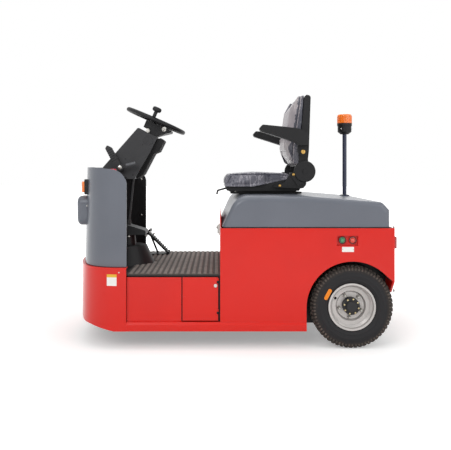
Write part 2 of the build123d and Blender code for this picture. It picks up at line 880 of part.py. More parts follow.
def build_rear_body():
    side = outline(
        [
            (body_front_x, sill_top_z + gap, 0),
            (body_front_x, body_top_z, 4),
            (body_rear_x + back_plate, body_top_z, 0),
            (body_rear_x + back_plate, sill_top_z + gap, 0),
        ]
    )
    arch = arch_face(arch_radius, body_rear_x)
    panel = along_y(side - arch, body_side_y - sheet, body_side_y)
    pocket_y = body_side_y - lamp_pocket_depth
    half_l = lamp_pocket_length / 2
    half_h = lamp_pocket_height / 2
    left = panel + block(
        lamp_pocket_x - half_l - 3, lamp_pocket_x + half_l + 3, pocket_y - 3, body_side_y - sheet,
        lamp_pocket_z - half_h - 3, lamp_pocket_z + half_h + 3,
    )
    left -= block(
        lamp_pocket_x - half_l, lamp_pocket_x + half_l, pocket_y, body_side_y + 1,
        lamp_pocket_z - half_h, lamp_pocket_z + half_h,
    )
    nodes["rear_side_left"] = left
    nodes["rear_side_right"] = mirrored(panel)
    lamps = Part()
    for x in (lamp_pocket_x + 26, lamp_pocket_x - 26):
        bezel = round_y(x, lamp_pocket_z + 3, 15, pocket_y, pocket_y + 8)
        dome = round_y(x, lamp_pocket_z + 3, 11, pocket_y + 8, pocket_y + 14)
        lamps += bezel + fillet(dome.faces().sort_by(Axis.Y)[-1].edges(), 4)
    nodes["charge_lamps"] = lamps
    front = outline(
        [
            (-body_side_y + sheet + gap, floor_top_z, 0),
            (body_side_y - sheet - gap, floor_top_z, 0),
            (body_side_y - sheet - gap, body_top_z, 3),
            (330, body_top_z, 30),
            (250, front_panel_top_z, 30),
            (-250, front_panel_top_z, 30),
            (-330, body_top_z, 30),
            (-body_side_y + sheet + gap, body_top_z, 3),
        ]
    )
    nodes["front_panel"] = along_x(front, body_front_x - sheet, body_front_x)
    latch_z = 560.0
    latch = block(body_front_x, body_front_x + 4, -20, 20, latch_z - 32, latch_z + 32)
    latch += block(body_front_x + 3, body_front_x + 14, -9, 9, latch_z - 24, latch_z + 28)
    nodes["hood_latch"] = fillet(latch.faces().sort_by(Axis.X)[-1].edges(), 3)
    back = outline(
        [
            (-body_side_y, body_top_z, 4),
            (-body_side_y, back_corner_z, 8),
            (-body_side_y + back_corner, back_bottom_z, 8),
            (body_side_y - back_corner, back_bottom_z, 8),
            (body_side_y, back_corner_z, 8),
            (body_side_y, body_top_z, 4),
        ]
    )
    nodes["back_panel"] = along_x(back, body_rear_x, body_rear_x + back_plate - gap)
    tail = block(
        body_rear_x - tail_lamp_depth, body_rear_x, body_side_y - tail_lamp_inset - tail_lamp_width,
        body_side_y - tail_lamp_inset, tail_lamp_z, tail_lamp_z + tail_lamp_height,
    )
    nodes["tail_lamps"] = both_sides(fillet(tail.edges().filter_by(Axis.X), 8))


def build_mudguards():
    inner = rear_rail_y + frame_plate + gap
    outer = body_side_y - sheet - gap
    ring = arch_face(arch_radius + 3, body_rear_x + back_plate) - arch_face(
        arch_radius - 1, body_rear_x
    )
    guard = along_y(ring, inner, outer)
    guard &= block(
        body_rear_x + back_plate, rear_axle_x + arch_radius - gap, inner, outer, guard_low_z, deck_z
    )
    nodes["mudguards"] = both_sides(guard)


def build_power():
    arch_front_x = rear_axle_x + arch_radius
    battery_y = frame_side_y - frame_plate - 20
    nodes["battery"] = block(
        arch_front_x + frame_plate + 6, body_front_x - 26, -battery_y, battery_y, frame_low_z,
        frame_low_z + battery_height,
    )
    tube_end = rear_rail_y + frame_plate + 8
    tube = round_y(rear_axle_x, tyre_radius, axle_tube_radius, -tube_end, tube_end)
    case = Pos(rear_axle_x, 0, tyre_radius) * Sphere(104)
    case += round_y(rear_axle_x, tyre_radius, 62, -150, 150)
    end = wheel_centre_y - 55
    arms = round_y(rear_axle_x, tyre_radius, 30, -end, end)
    spindle_end = wheel_centre_y + 12
    spindle = round_y(rear_axle_x, tyre_radius, spindle_radius, -spindle_end, spindle_end)
    nodes["rear_axle"] = tube + case + arms + spindle
    motor = round_x(0, tyre_radius + 76, 92, rear_axle_x - 190, rear_axle_x - 60)
    nodes["drive_motor"] = motor - nodes["rear_axle"]


def build_coupler():
    reach = coupler_bore_x - coupler_end_radius
    ear = make_face(
        Polyline(
            (body_rear_x - 24, -62), (body_rear_x - 24, 62),
            (coupler_bore_x + 10, coupler_end_radius),
            (coupler_bore_x, coupler_end_radius),
        )
        + ThreePointArc(
            (coupler_bore_x, coupler_end_radius), (reach, 0), (coupler_bore_x, -coupler_end_radius)
        )
        + Polyline(
            (coupler_bore_x, -coupler_end_radius), (coupler_bore_x + 10, -coupler_end_radius),
            (body_rear_x - 24, -62),
        )
    )
    low_top = coupler_top_z - coupler_ear - coupler_jaw
    body = along_z(ear, coupler_top_z - coupler_ear, coupler_top_z)
    body += along_z(ear, low_top - coupler_ear, low_top)
    body += block(
        body_rear_x - 24, body_rear_x, -62, 62, low_top - coupler_ear - 6, coupler_top_z + 6
    )
    body -= round_z(coupler_bore_x, 0, coupler_bore_radius, 200, 500)
    nodes["tow_coupler"] = body


# Hood


def hood_profile(inset):
    return outline(
        [
            (hood_front_x - inset, hood_bottom_z - (1 if inset else 0), 0),
            (hood_front_top_x - inset * 0.6, hood_top_z - inset, 95 - inset),
            (hood_slope_x, hood_top_z - inset, 0),
            (hood_rear_x + 37 + inset, hood_rear_z + 3 - inset, 40 - inset),
            (hood_rear_x + inset, hood_rear_z - 38 - inset, 0),
            (hood_rear_x + inset, hood_bottom_z - (1 if inset else 0), 0),
        ]
    )


def build_hood():
    outer = along_y(hood_profile(0), -hood_side_y, hood_side_y)
    edge_band = outer.faces().filter_by(Axis.Y)
    top_edges = [
        edge for face in edge_band for edge in face.edges() if edge.center().Z > hood_bottom_z + 2
    ]
    outer = fillet(top_edges, hood_edge_radius)
    inner = along_y(hood_profile(sheet), -hood_side_y + sheet, hood_side_y - sheet)
    inner_band = inner.faces().filter_by(Axis.Y)
    inner_edges = [
        edge for face in inner_band for edge in face.edges() if edge.center().Z > hood_bottom_z + 2
    ]
    inner = fillet(inner_edges, hood_edge_radius - sheet)
    hood = outer - inner
    nodes["hood"] = hood


def build_hood_hinge():
    pins = Part()
    knuckles = Part()
    for y in (-300.0, 300.0):
        knuckles += round_y(hood_hinge_x, hood_hinge_z, 7, y - 20, y + 20)
        knuckles += block(hood_hinge_x, hood_rear_x, y - 20, y + 20, hood_hinge_z - 3, hood_hinge_z + 3)
        knuckles -= round_y(hood_hinge_x, hood_hinge_z, hood_pin_radius + gap, y - 60, y + 60)
        pins += round_y(hood_hinge_x, hood_hinge_z, hood_pin_radius, y - 40, y + 40)
        for start in (y - 40, y + 20 + gap):
            pins += round_y(hood_hinge_x, hood_hinge_z, 7, start, start + 20 - gap)
            pins += block(
                hood_hinge_x - 7, hood_hinge_x + 5, start, start + 20 - gap, body_top_z, hood_hinge_z
            )
    nodes["back_panel"] += pins
    nodes["hood"] += knuckles


def build_beacon():
    slope = (hood_top_z - hood_rear_z) / (hood_slope_x - hood_rear_x)
    skin_z = hood_top_z - slope * (hood_slope_x - beacon_x)
    base_low = beacon_top_z - beacon_lens_height - 62
    pole = round_z(beacon_x, beacon_y, beacon_pole_radius, skin_z - 2, base_low)
    pole += round_z(beacon_x, beacon_y, 30, skin_z - 2, skin_z + 6)
    nodes["beacon_pole"] = pole - nodes["hood"]
    base = round_z(beacon_x, beacon_y, beacon_base_radius, base_low + 14, base_low + 56)
    neck_low = Plane.XY.offset(base_low) * Pos(beacon_x, beacon_y) * Circle(24)
    neck_high = Plane.XY.offset(base_low + 14) * Pos(beacon_x, beacon_y) * Circle(beacon_base_radius)
    base += loft([neck_low, neck_high])
    base += round_z(beacon_x, beacon_y, beacon_base_radius + 3, base_low + 50, base_low + 62)
    nodes["beacon_base"] = base
    lens = round_z(beacon_x, beacon_y, beacon_lens_radius, base_low + 62, beacon_top_z)
    nodes["beacon_lens"] = fillet(lens.faces().sort_by(Axis.Z)[-1].edges(), 9)


# Seat


def build_seat():
    top = hood_top_z
    rail = block(rail_rear_x, rail_front_x, rail_y - 6, rail_y + 6, top, top + 6)
    rail += block(rail_rear_x, rail_front_x, rail_y - 13, rail_y + 13, top + 6, top + rail_height)
    nodes["seat_rails"] = both_sides(rail)
    runner_half = rail_width / 2
    runner_top = top + rail_height + 6
    runner = block(-300, 20, rail_y - runner_half, rail_y + runner_half, top + 3, runner_top)
    runner -= block(-301, 21, rail_y - 13 - gap, rail_y + 13 + gap, top + 6 - gap, top + rail_height + gap)
    runner -= block(-301, 21, rail_y - 6 - gap, rail_y + 6 + gap, top, top + 8)
    pan_low = runner_top
    pan = outline(
        [
            (76, pan_low, 4),
            (96, pan_low + 22, 8),
            (-60, pan_low + 22, 0),
            (-276, pan_low + 66, 4),
            (-300, pan_low + 66, 10),
            (-320, pan_low + 20, 10),
            (-312, pan_low, 4),
        ]
    )
    base = along_y(pan, -206, 206) + both_sides(runner)
    bracket = outline(
        [
            (recliner_x + 178.5, top + 42, 4),
            (recliner_x + 150.5, top + 36, 6),
            (recliner_x + 6.5, top + 30, 20),
            (recliner_x - 15.5, top + 62, 30),
            (recliner_x + 18.5, recliner_z - 12, 20),
            (recliner_x + 74.5, recliner_z - 4, 14),
            (recliner_x + 104.5, top + 62, 20),
        ]
    )
    inner_y = 206.0
    plate = along_y(bracket, inner_y, recliner_y + 1)
    plate -= round_y(recliner_x, recliner_z, 36, half_backrest + 1, recliner_y - 1)
    plate += round_y(recliner_x, recliner_z, recliner_pin_radius, inner_y + 2, recliner_y + 20)
    disc = round_y(recliner_x, recliner_z, recliner_radius, recliner_y + 1, recliner_y + 15)
    disc = chamfer(disc.faces().sort_by(Axis.Y)[-1].edges(), 3)
    web = outline(
        [
            (recliner_x + 36.5, top + 42, 6),
            (recliner_x - 23.5, top + 76, 6),
            (recliner_x, recliner_z, 0),
            (recliner_x + 74.5, recliner_z - 22, 6),
        ]
    )
    disc += along_y(web, recliner_y, recliner_y + 8)
    plate += disc
    nodes["seat_base"] = base + both_sides(plate)
    cushion = outline(
        [
            (seat_front_x - 22, pan_low + 22 + gap, 16),
            (seat_front_x, top + 72, 26),
            (seat_front_x - 10, top + 108, 22),
            (-80, top + 123, 0),
            (-270, top + 114, 18),
            (-276, pan_low + 66 + gap, 5),
            (-60, pan_low + 22 + gap, 0),
        ]
    )
    plan = outline(
        [
            (seat_front_x + 1, -seat_half_width, 40),
            (seat_front_x + 1, seat_half_width, 40),
            (-140, seat_half_width, 12),
            (-150, inner_y - 2, 12),
            (-300, inner_y - 2, 12),
            (-300, -inner_y + 2, 12),
            (-150, -inner_y + 2, 12),
            (-140, -seat_half_width, 12),
        ]
    )
    body = along_y(cushion, -seat_half_width, seat_half_width)
    nodes["seat_cushion"] = body & along_z(plan, top, top + 200)
    lever = rod((70, 60, pan_low + 14), (128, 60, pan_low - 2), 5)
    lever += Pos(128, 60, pan_low - 2) * Sphere(5)
    lever += rod((128, 60, pan_low - 2), (134, 60, pan_low - 24), 5)
    nodes["seat_base"] += lever


def build_backrest():
    shell = outline(
        [
            (recliner_x - 15.5, recliner_z + 24, 10),
            (recliner_x + 30.5, recliner_z + 24, 8),
            (recliner_x - 1.5, back_top_z - 16, 10),
            (recliner_x - 11.5, back_top_z, 8),
            (recliner_x - 35.5, back_top_z - 6, 14),
            (recliner_x - 25.5, recliner_z + 108, 60),
        ]
    )
    half = half_backrest
    body = along_y(shell, -half, half)
    ear = outline(
        [
            (recliner_x - 28, recliner_z - 6, 14),
            (recliner_x + 28, recliner_z - 6, 14),
            (recliner_x + 32.5, recliner_z + 138, 10),
            (recliner_x - 9.5, recliner_z + 138, 10),
        ]
    )
    ears = along_y(ear, half + 4, recliner_y - 4)
    link = block(
        recliner_x - 7.5, recliner_x + 24.5, half - 2, half + 6, recliner_z + 68, recliner_z + 132
    )
    joined = body + both_sides(ears + link)
    joined -= round_y(recliner_x, recliner_z, recliner_pin_radius + gap, -300, 300)
    pin = round_y(armrest_pivot_x, armrest_pivot_z, armrest_pin_radius, recliner_y - 5, armrest_y + 22)
    joined += both_sides(pin)
    nodes["backrest_shell"] = joined
    pad = outline(
        [
            (recliner_x + 30, recliner_z + 34, 8),
            (recliner_x + 64.5, recliner_z + 30, 18),
            (recliner_x + 93.5, recliner_z + 108, 60),
            (recliner_x + 66.5, recliner_z + 218, 100),
            (recliner_x + 32.5, back_top_z - 12, 22),
            (recliner_x - 1.3, back_top_z - 14, 4),
        ]
    )
    nodes["backrest_cushion"] = along_y(pad, -half + 6, half - 6) - nodes["backrest_shell"]


def build_armrests():
    profile = outline(
        [
            (armrest_pivot_x + 212.5, armrest_pivot_z + 143, 12),
            (armrest_pivot_x + 230.5, armrest_pivot_z + 123, 10),
            (armrest_pivot_x + 222.5, armrest_pivot_z + 108, 10),
            (armrest_pivot_x + 81.5, armrest_pivot_z + 63, 40),
            (armrest_pivot_x + 26.5, armrest_pivot_z + 45, 20),
            (armrest_pivot_x + 24.5, armrest_pivot_z - 5, 14),
            (armrest_pivot_x + 0.5, armrest_pivot_z - 21, 16),
            (armrest_pivot_x - 23.5, armrest_pivot_z - 5, 14),
            (armrest_pivot_x - 31.5, armrest_pivot_z + 95, 18),
            (armrest_pivot_x + 16.5, armrest_pivot_z + 121, 30),
            (armrest_pivot_x + 92.5, armrest_pivot_z + 131, 60),
        ]
    )
    low = armrest_y - armrest_width / 2
    high = armrest_y + armrest_width / 2
    arm = along_y(profile, low, high)
    arm -= block(
        armrest_pivot_x - 81.5, armrest_pivot_x + 32.5, low + 18, high + 1, armrest_pivot_z - 35,
        armrest_pivot_z + 35,
    )
    arm -= round_y(armrest_pivot_x, armrest_pivot_z, armrest_pin_radius + gap, low - 5, high + 5)
    nodes["armrest_left"] = arm
    nodes["armrest_right"] = mirrored(arm)


build_wheels()
build_fork()
build_well()
build_front_body()
build_lamps()
build_column()
build_steering_gear()
build_steering_wheel()
build_controls()
build_pedals()
build_floor()
build_frame()
build_sills()
build_step_sides()
build_doors()
build_rear_body()
build_mudguards()
build_power()
build_coupler()
build_hood()
build_hood_hinge()
build_beacon()
build_seat()
build_backrest()
build_armrests()

os.makedirs("parts", exist_ok=True)
for name, solid in nodes.items():
    export_step(solid, f"parts/{name}.step")
print(len(nodes), "nodes")
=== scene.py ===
import bpy
import math
from mathutils import Matrix, Vector


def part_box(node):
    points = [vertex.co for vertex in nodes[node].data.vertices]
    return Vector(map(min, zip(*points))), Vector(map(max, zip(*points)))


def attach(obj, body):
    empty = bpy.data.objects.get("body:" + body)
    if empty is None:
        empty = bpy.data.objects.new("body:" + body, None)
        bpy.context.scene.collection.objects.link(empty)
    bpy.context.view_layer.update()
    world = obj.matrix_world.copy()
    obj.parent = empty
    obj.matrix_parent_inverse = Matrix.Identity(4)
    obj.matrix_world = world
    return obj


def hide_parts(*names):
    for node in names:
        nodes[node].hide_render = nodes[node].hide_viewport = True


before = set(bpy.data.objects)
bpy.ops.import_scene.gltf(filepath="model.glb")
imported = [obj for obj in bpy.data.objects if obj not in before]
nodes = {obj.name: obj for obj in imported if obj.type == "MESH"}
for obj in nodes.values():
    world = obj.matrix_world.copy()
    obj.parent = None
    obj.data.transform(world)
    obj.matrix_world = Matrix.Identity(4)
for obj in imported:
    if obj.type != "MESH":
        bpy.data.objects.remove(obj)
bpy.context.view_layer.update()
mm = 0.001
print("frame loaded")


# materials

def srgb(hexText, alpha=1.0):
    # hex as seen on screen, turned to linear light
    values = [int(hexText[i:i + 2], 16) / 255 for i in (1, 3, 5)]
    linear = [v / 12.92 if v <= 0.04045 else ((v + 0.055) / 1.055) ** 2.4 for v in values]
    return (*linear, alpha)


def addNode(mat, kind, values=None, links=None, **settings):
    node = mat.node_tree.nodes.new(kind)
    for key, value in settings.items():
        setattr(node, key, value)
    for key, value in (values or {}).items():
        node.inputs[key].default_value = value
    for key, source in (links or {}).items():
        mat.node_tree.links.new(source, node.inputs[key])
    return node


def startMaterial(name, values):
    mat = bpy.data.materials.new(name)
    mat.use_nodes = True
    shader = mat.node_tree.nodes["Principled BSDF"]
    for key, value in values.items():
        shader.inputs[key].default_value = value
    place = addNode(mat, "ShaderNodeTexCoord").outputs["Object"]
    return mat, shader, place


def colourFrom(mat, shader, source):
    mat.node_tree.links.new(source, shader.inputs["Base Color"])


def speckle(mat, place, scale, detail=3, distortion=0.0):
    return addNode(mat, "ShaderNodeTexNoise", {"Scale": scale, "Detail": detail, "Distortion": distortion},
                   {"Vector": place}).outputs["Fac"]


def ramp(mat, source, low, high, start=0.3, end=0.7):
    node = addNode(mat, "ShaderNodeValToRGB", links={"Fac": source})
    node.color_ramp.elements[0].position = start
    node.color_ramp.elements[1].position = end
    node.color_ramp.elements[0].color = low
    node.color_ramp.elements[1].color = high
    return node.outputs["Color"]


def bumpFrom(mat, shader, source, strength, distance):
    bump = addNode(mat, "ShaderNodeBump", {"Strength": strength, "Distance": distance}, {"Height": source})
    mat.node_tree.links.new(bump.outputs["Normal"], shader.inputs["Normal"])


def shadeRoughness(mat, shader, source, low, high):
    node = addNode(mat, "ShaderNodeMapRange", {"To Min": low, "To Max": high}, {"Value": source})
    mat.node_tree.links.new(node.outputs["Result"], shader.inputs["Roughness"])


def sprayedPaint(name, colour, darker, rough=0.3, coat=0.15):
    # sprayed enamel on sheet steel: orange peel about 3 mm across, faint tone drift over 300 mm
    mat, shader, place = startMaterial(name, {"IOR": 1.5, "Specular IOR Level": 0.3, "Coat Weight": coat,
                                              "Coat Roughness": 0.12})
    drift = speckle(mat, place, 3.2, 2)
    colourFrom(mat, shader, ramp(mat, drift, srgb(darker), srgb(colour), 0.25, 0.6))
    shadeRoughness(mat, shader, speckle(mat, place, 18, 4), rough - 0.05, rough + 0.07)
    bumpFrom(mat, shader, speckle(mat, place, 330, 2), 0.05, 0.0006)
    return mat


def mouldedPlastic(name, colour, lighter, grain=1.2, rough=0.48):
    # moulded ABS with a spark-eroded grain, grain width in mm
    mat, shader, place = startMaterial(name, {"IOR": 1.5, "Specular IOR Level": 0.25})
    fine = speckle(mat, place, 1000 / grain, 3)
    colourFrom(mat, shader, ramp(mat, speckle(mat, place, 9, 3), srgb(colour), srgb(lighter)))
    shadeRoughness(mat, shader, speckle(mat, place, 26, 4), rough - 0.06, rough + 0.08)
    bumpFrom(mat, shader, fine, 0.18, 0.0004)
    return mat


def rubberOf(name, colour, dusty, scale=14, rough=0.78, bump=0.25):
    # carbon-black rubber with a little dust in the hollows
    mat, shader, place = startMaterial(name, {"IOR": 1.52})
    dust = speckle(mat, place, scale, 6, 0.4)
    colourFrom(mat, shader, ramp(mat, dust, srgb(colour), srgb(dusty), 0.42, 0.8))
    shadeRoughness(mat, shader, dust, rough - 0.1, rough + 0.1)
    bumpFrom(mat, shader, speckle(mat, place, 420, 3), bump, 0.0005)
    return mat


def metalOf(name, colour, rough, metallic=1.0, scale=60, bump=0.06):
    # plated or cast metal: handling leaves patches of gloss, casting leaves a fine grain
    mat, shader, place = startMaterial(name, {"Metallic": metallic})
    worn = speckle(mat, place, scale, 5)
    shader.inputs["Base Color"].default_value = srgb(colour)
    shadeRoughness(mat, shader, worn, rough - 0.08, rough + 0.12)
    bumpFrom(mat, shader, speckle(mat, place, 500, 2), bump, 0.0004)
    return mat


def lampPlastic(name, colour, rough=0.08, transmission=0.55, ior=1.49, glow=0.0):
    # clear or tinted acrylic lens
    values = {"Base Color": srgb(colour), "Roughness": rough, "IOR": ior, "Transmission Weight": transmission,
              "Coat Weight": 0.6}
    mat, shader, place = startMaterial(name, values)
    bumpFrom(mat, shader, speckle(mat, place, 90, 2), 0.04, 0.001)
    if glow:
        shader.inputs["Emission Color"].default_value = srgb(colour)
        shader.inputs["Emission Strength"].default_value = glow
    return mat


redPaint = sprayedPaint("redEnamel", "#D71502", "#CF1102")
greyPaint = sprayedPaint("greyEnamel", "#696D76", "#62666F", 0.34, 0.2)
blackPaint = sprayedPaint("blackChassisPaint", "#151517", "#0F0F10", 0.5, 0.05)
polePaint = sprayedPaint("bluePolePaint", "#33384E", "#292F42", 0.3, 0.2)
silverPaint = sprayedPaint("silverRimPaint", "#C4C0BD", "#B3AFAC", 0.36, 0.2)
silverPaint.node_tree.nodes["Principled BSDF"].inputs["Metallic"].default_value = 0.35
darkPlastic = mouldedPlastic("darkGreyAbs", "#313133", "#373739")
blackPlastic = mouldedPlastic("blackAbs", "#171718", "#1D1D1F")
# very dark rough plastic: real black trim on the column, and painted shade on the cowl's inner faces
blackTrimAndPaintedShade = mouldedPlastic("blackLiningAndPaintedShade", "#1B1B1C", "#242425", 2.5, 0.8)
tyreRubber = rubberOf("tyreRubber", "#252425", "#3B3837")
matRubber = rubberOf("ribbedMatRubber", "#6B625D", "#837A74", 22, 0.8, 0.3)
sealRubber = rubberOf("sealRubber", "#141414", "#1C1C1C")
brightSteel = metalOf("zincPlatedSteel", "#B9B7B2", 0.3)
brass = metalOf("brassBolt", "#B08D4F", 0.32)
castIron = metalOf("blackCastIron", "#1B1B1C", 0.55, 0.2, 30, 0.3)
gearIron = metalOf("paintedGearCase", "#2A2B2D", 0.5, 0.2, 30, 0.25)
amberLens = lampPlastic("amberAcrylic", "#F5830F", 0.1, 0.35, glow=0.12)
redLens = lampPlastic("redAcrylic", "#B5101A", 0.12, 0.12)
greenLens = lampPlastic("greenAcrylic", "#1E8A52", 0.12, 0.12)
clearLens = lampPlastic("clearGlass", "#F2F5F7", 0.03, 0.92)
redKnob = lampPlastic("redButtonPlastic", "#D81E3A", 0.25, 0.0)
whitePlate = sprayedPaint("whitePlate", "#F1F0EC", "#E9E8E3", 0.35, 0.2)
yellowBand = sprayedPaint("yellowPlate", "#E8B93A", "#DFAF30", 0.35, 0.2)
orangeLabel = sprayedPaint("orangeLabel", "#F08A1A", "#E57F12", 0.4, 0.1)
print("materials made")

nodeFinish = {
    "front_body": redPaint, "sills": redPaint, "step_panels": redPaint, "rear_side_left": redPaint,
    "rear_side_right": redPaint, "front_panel": redPaint, "back_panel": redPaint,
    "service_door_left": redPaint, "service_door_right": redPaint,
    "front_cowl": greyPaint, "headlamp_housings": greyPaint, "hood": greyPaint,
    "chassis_frame": blackPaint, "floor_plate": blackPaint, "wheel_well": blackPaint, "mudguards": blackPaint,
    "front_fork": blackPaint, "accelerator_pedal": blackPaint, "brake_pedal": blackPaint,
    "seat_rails": blackPaint,
    "steering_gear": gearIron, "rear_axle": gearIron, "drive_motor": gearIron, "tow_coupler": castIron,
    "front_hub": castIron, "rear_hub_left": castIron, "rear_hub_right": castIron,
    "floor_mat": matRubber, "cowl_seal": sealRubber,
    "dash": blackPlastic, "turn_lamp_bases": blackPlastic, "column_rear_trim": blackTrimAndPaintedShade,
    "column_head": blackPlastic, "steering_wheel_rim": blackPlastic, "spinner_knob": blackPlastic,
    "beacon_base": blackPlastic, "seat_base": blackPlastic, "backrest_shell": blackPlastic,
    "column_cover": darkPlastic, "control_levers": darkPlastic, "armrest_left": blackPlastic,
    "armrest_right": blackPlastic,
    "front_rim": silverPaint, "rear_rim_left": silverPaint, "rear_rim_right": silverPaint,
    "front_tyre": tyreRubber, "rear_tyre_left": tyreRubber, "rear_tyre_right": tyreRubber,
    "headlamp_lenses": clearLens, "turn_lamp_lenses": amberLens, "beacon_lens": amberLens,
    "tail_lamps": redLens, "charge_lamps": greenLens, "stop_button": redKnob,
    "hood_latch": brightSteel, "battery": gearIron, "beacon_pole": polePaint,
    "seat_cushion": darkPlastic, "backrest_cushion": darkPlastic,
}
for nodeName, finish in nodeFinish.items():
    target = nodes[nodeName]
    target.data.materials.clear()
    target.data.materials.append(finish)


# modelling helpers

def pick(*pieces):
    bpy.ops.object.select_all(action="DESELECT")
    for piece in pieces:
        piece.select_set(True)
    bpy.context.view_layer.objects.active = pieces[-1]


def pickFaces(piece, wanted):
    # leaves the piece in edit mode with the wanted faces selected
    pick(piece)
    bpy.ops.object.mode_set(mode="EDIT")
    bpy.ops.mesh.select_mode(type="FACE")
    bpy.ops.mesh.select_all(action="DESELECT")
    bpy.ops.object.mode_set(mode="OBJECT")
    for face in piece.data.polygons:
        face.select = wanted(face)
    bpy.ops.object.mode_set(mode="EDIT")


def objectMode():
    bpy.ops.object.mode_set(mode="OBJECT")


def roundEdges(piece, width, segments=2, angle=30):
    pick(piece)
    bevel = piece.modifiers.new("softEdges", "BEVEL")
    bevel.width = width * mm
    bevel.segments = segments
    bevel.limit_method = "ANGLE"
    bevel.angle_limit = math.radians(angle)
    bpy.ops.object.modifier_apply(modifier=bevel.name)


def freeze(piece):
    # puts the object's place into its mesh
    pick(piece)
    bpy.ops.object.transform_apply(location=True, rotation=True, scale=True)


def settle(piece, name, body, finish, smooth=35):
    freeze(piece)
    piece.name = name
    piece.data.materials.clear()
    piece.data.materials.append(finish)
    bpy.ops.object.shade_smooth_by_angle(angle=math.radians(smooth))
    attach(piece, body)
    return piece


def point(x, y, z):
    return Vector((x, y, z)) * mm


def slab(x, y, z):
    # a block between low and high values in millimetres
    bpy.ops.object.select_all(action="DESELECT")
    middle = point((x[0] + x[1]) / 2, (y[0] + y[1]) / 2, (z[0] + z[1]) / 2)
    bpy.ops.mesh.primitive_cube_add(size=1, location=middle)
    piece = bpy.context.object
    piece.scale = point(x[1] - x[0], y[1] - y[0], z[1] - z[0])
    freeze(piece)
    return piece


def drum(radius, depth, vertices=24):
    # stands on the origin, up +Z
    bpy.ops.object.select_all(action="DESELECT")
    bpy.ops.mesh.primitive_cylinder_add(vertices=vertices, radius=radius * mm, depth=depth * mm,
                                        location=(0, 0, depth * mm / 2))
    piece = bpy.context.object
    freeze(piece)
    return piece


def isTop(face):
    return face.normal.z > 0.9


def turned(profile, steps=64, closed=False):
    # profile of (radius, along) in mm, drawn by extruding a vertex, then spun about +Z
    bpy.ops.object.select_all(action="DESELECT")
    bpy.ops.mesh.primitive_plane_add(size=0.001)
    piece = bpy.context.object
    bpy.ops.object.mode_set(mode="EDIT")
    bpy.ops.mesh.select_mode(type="VERT")
    bpy.ops.mesh.select_all(action="SELECT")
    bpy.ops.mesh.merge(type="CENTER")
    bpy.ops.transform.translate(value=point(profile[0][0], 0, profile[0][1]))
    corners = list(profile) + ([profile[0]] if closed else [])
    for (wasRadius, wasAlong), (radius, along) in zip(corners, corners[1:]):
        step = point(radius - wasRadius, 0, along - wasAlong)
        bpy.ops.mesh.extrude_region_move(TRANSFORM_OT_translate={"value": step})
    bpy.ops.mesh.select_all(action="SELECT")
    bpy.ops.mesh.remove_doubles(threshold=0.00001)
    bpy.ops.mesh.select_all(action="SELECT")
    bpy.ops.mesh.spin(steps=steps, angle=2 * math.pi, center=(0, 0, 0), axis=(0, 0, 1))
    bpy.ops.mesh.select_all(action="SELECT")
    bpy.ops.mesh.remove_doubles(threshold=0.00001)
    bpy.ops.mesh.normals_make_consistent(inside=False)
    objectMode()
    return piece


def facing(normal, spin=0.0):
    return Vector(normal).to_track_quat("Z", "Y").to_matrix().to_4x4() @ Matrix.Rotation(spin, 4, "Z")


def twinOf(piece, matrix):
    twin = piece.copy()
    twin.data = piece.data.copy()
    bpy.context.collection.objects.link(twin)
    twin.matrix_world = matrix
    return twin


def mirrored(piece, matrix):
    # a mirror image, turned the right way out again
    twin = twinOf(piece, matrix)
    freeze(twin)
    pickFaces(twin, lambda face: True)
    bpy.ops.mesh.normals_make_consistent(inside=False)
    objectMode()
    return twin


def stamp(model, places):
    # copies of one model at (location in mm, outward direction, spin), joined into one mesh
    twins = [twinOf(model, Matrix.Translation(point(*at)) @ facing(normal, spin))
             for at, normal, spin in places]
    bpy.data.objects.remove(model)
    pick(*twins)
    bpy.ops.object.join()
    piece = bpy.context.object
    freeze(piece)
    return piece


def ringOf(piece, count, centre):
    # evenly spaced copies round a line up through the centre
    around = Matrix.Translation(point(*centre))
    back = Matrix.Translation(-point(*centre))
    step = 2 * math.pi / count
    twins = [twinOf(piece, around @ Matrix.Rotation(step * index, 4, "Z") @ back)
             for index in range(1, count)]
    pick(*twins, piece)
    bpy.ops.object.join()
    freeze(piece)
    return piece


def joined(*pieces):
    pick(*pieces)
    bpy.ops.object.join()
    return bpy.context.object


def hexBolt(across=13.0, height=6.0):
    # hexagon head with a chamfered top on a round washer
    washer = drum(across * 0.72, height * 0.28)
    roundEdges(washer, height * 0.08)
    head = drum(across * 0.577, height, 6)
    pickFaces(head, isTop)
    bpy.ops.mesh.inset(thickness=across * 0.09 * mm)
    bpy.ops.transform.translate(value=point(0, 0, height * 0.12))
    objectMode()
    return joined(washer, head)


def panScrew(across=10.0, height=3.4):
    # plain domed head
    return turned([(0, height), (across * 0.2, height * 0.97), (across * 0.38, height * 0.72),
                   (across * 0.5, height * 0.2), (across * 0.5, 0), (0, 0)], 20)


def tube(points, radius, name, smoothPath=True):
    # a round bar or piping along points in mm
    line = bpy.data.curves.new(name, "CURVE")
    line.dimensions = "3D"
    spline = line.splines.new("NURBS")
    spline.points.add(len(points) - 1)
    for slotPoint, at in zip(spline.points, points):
        slotPoint.co = (*point(*at), 1)
    spline.order_u = 3 if smoothPath else 2
    spline.use_endpoint_u = True
    line.bevel_depth = radius * mm
    line.bevel_resolution = 2
    line.resolution_u = 6
    line.use_fill_caps = True
    piece = bpy.data.objects.new(name, line)
    bpy.context.collection.objects.link(piece)
    pick(piece)
    bpy.ops.object.convert(target="MESH")
    return bpy.context.object


# wheels

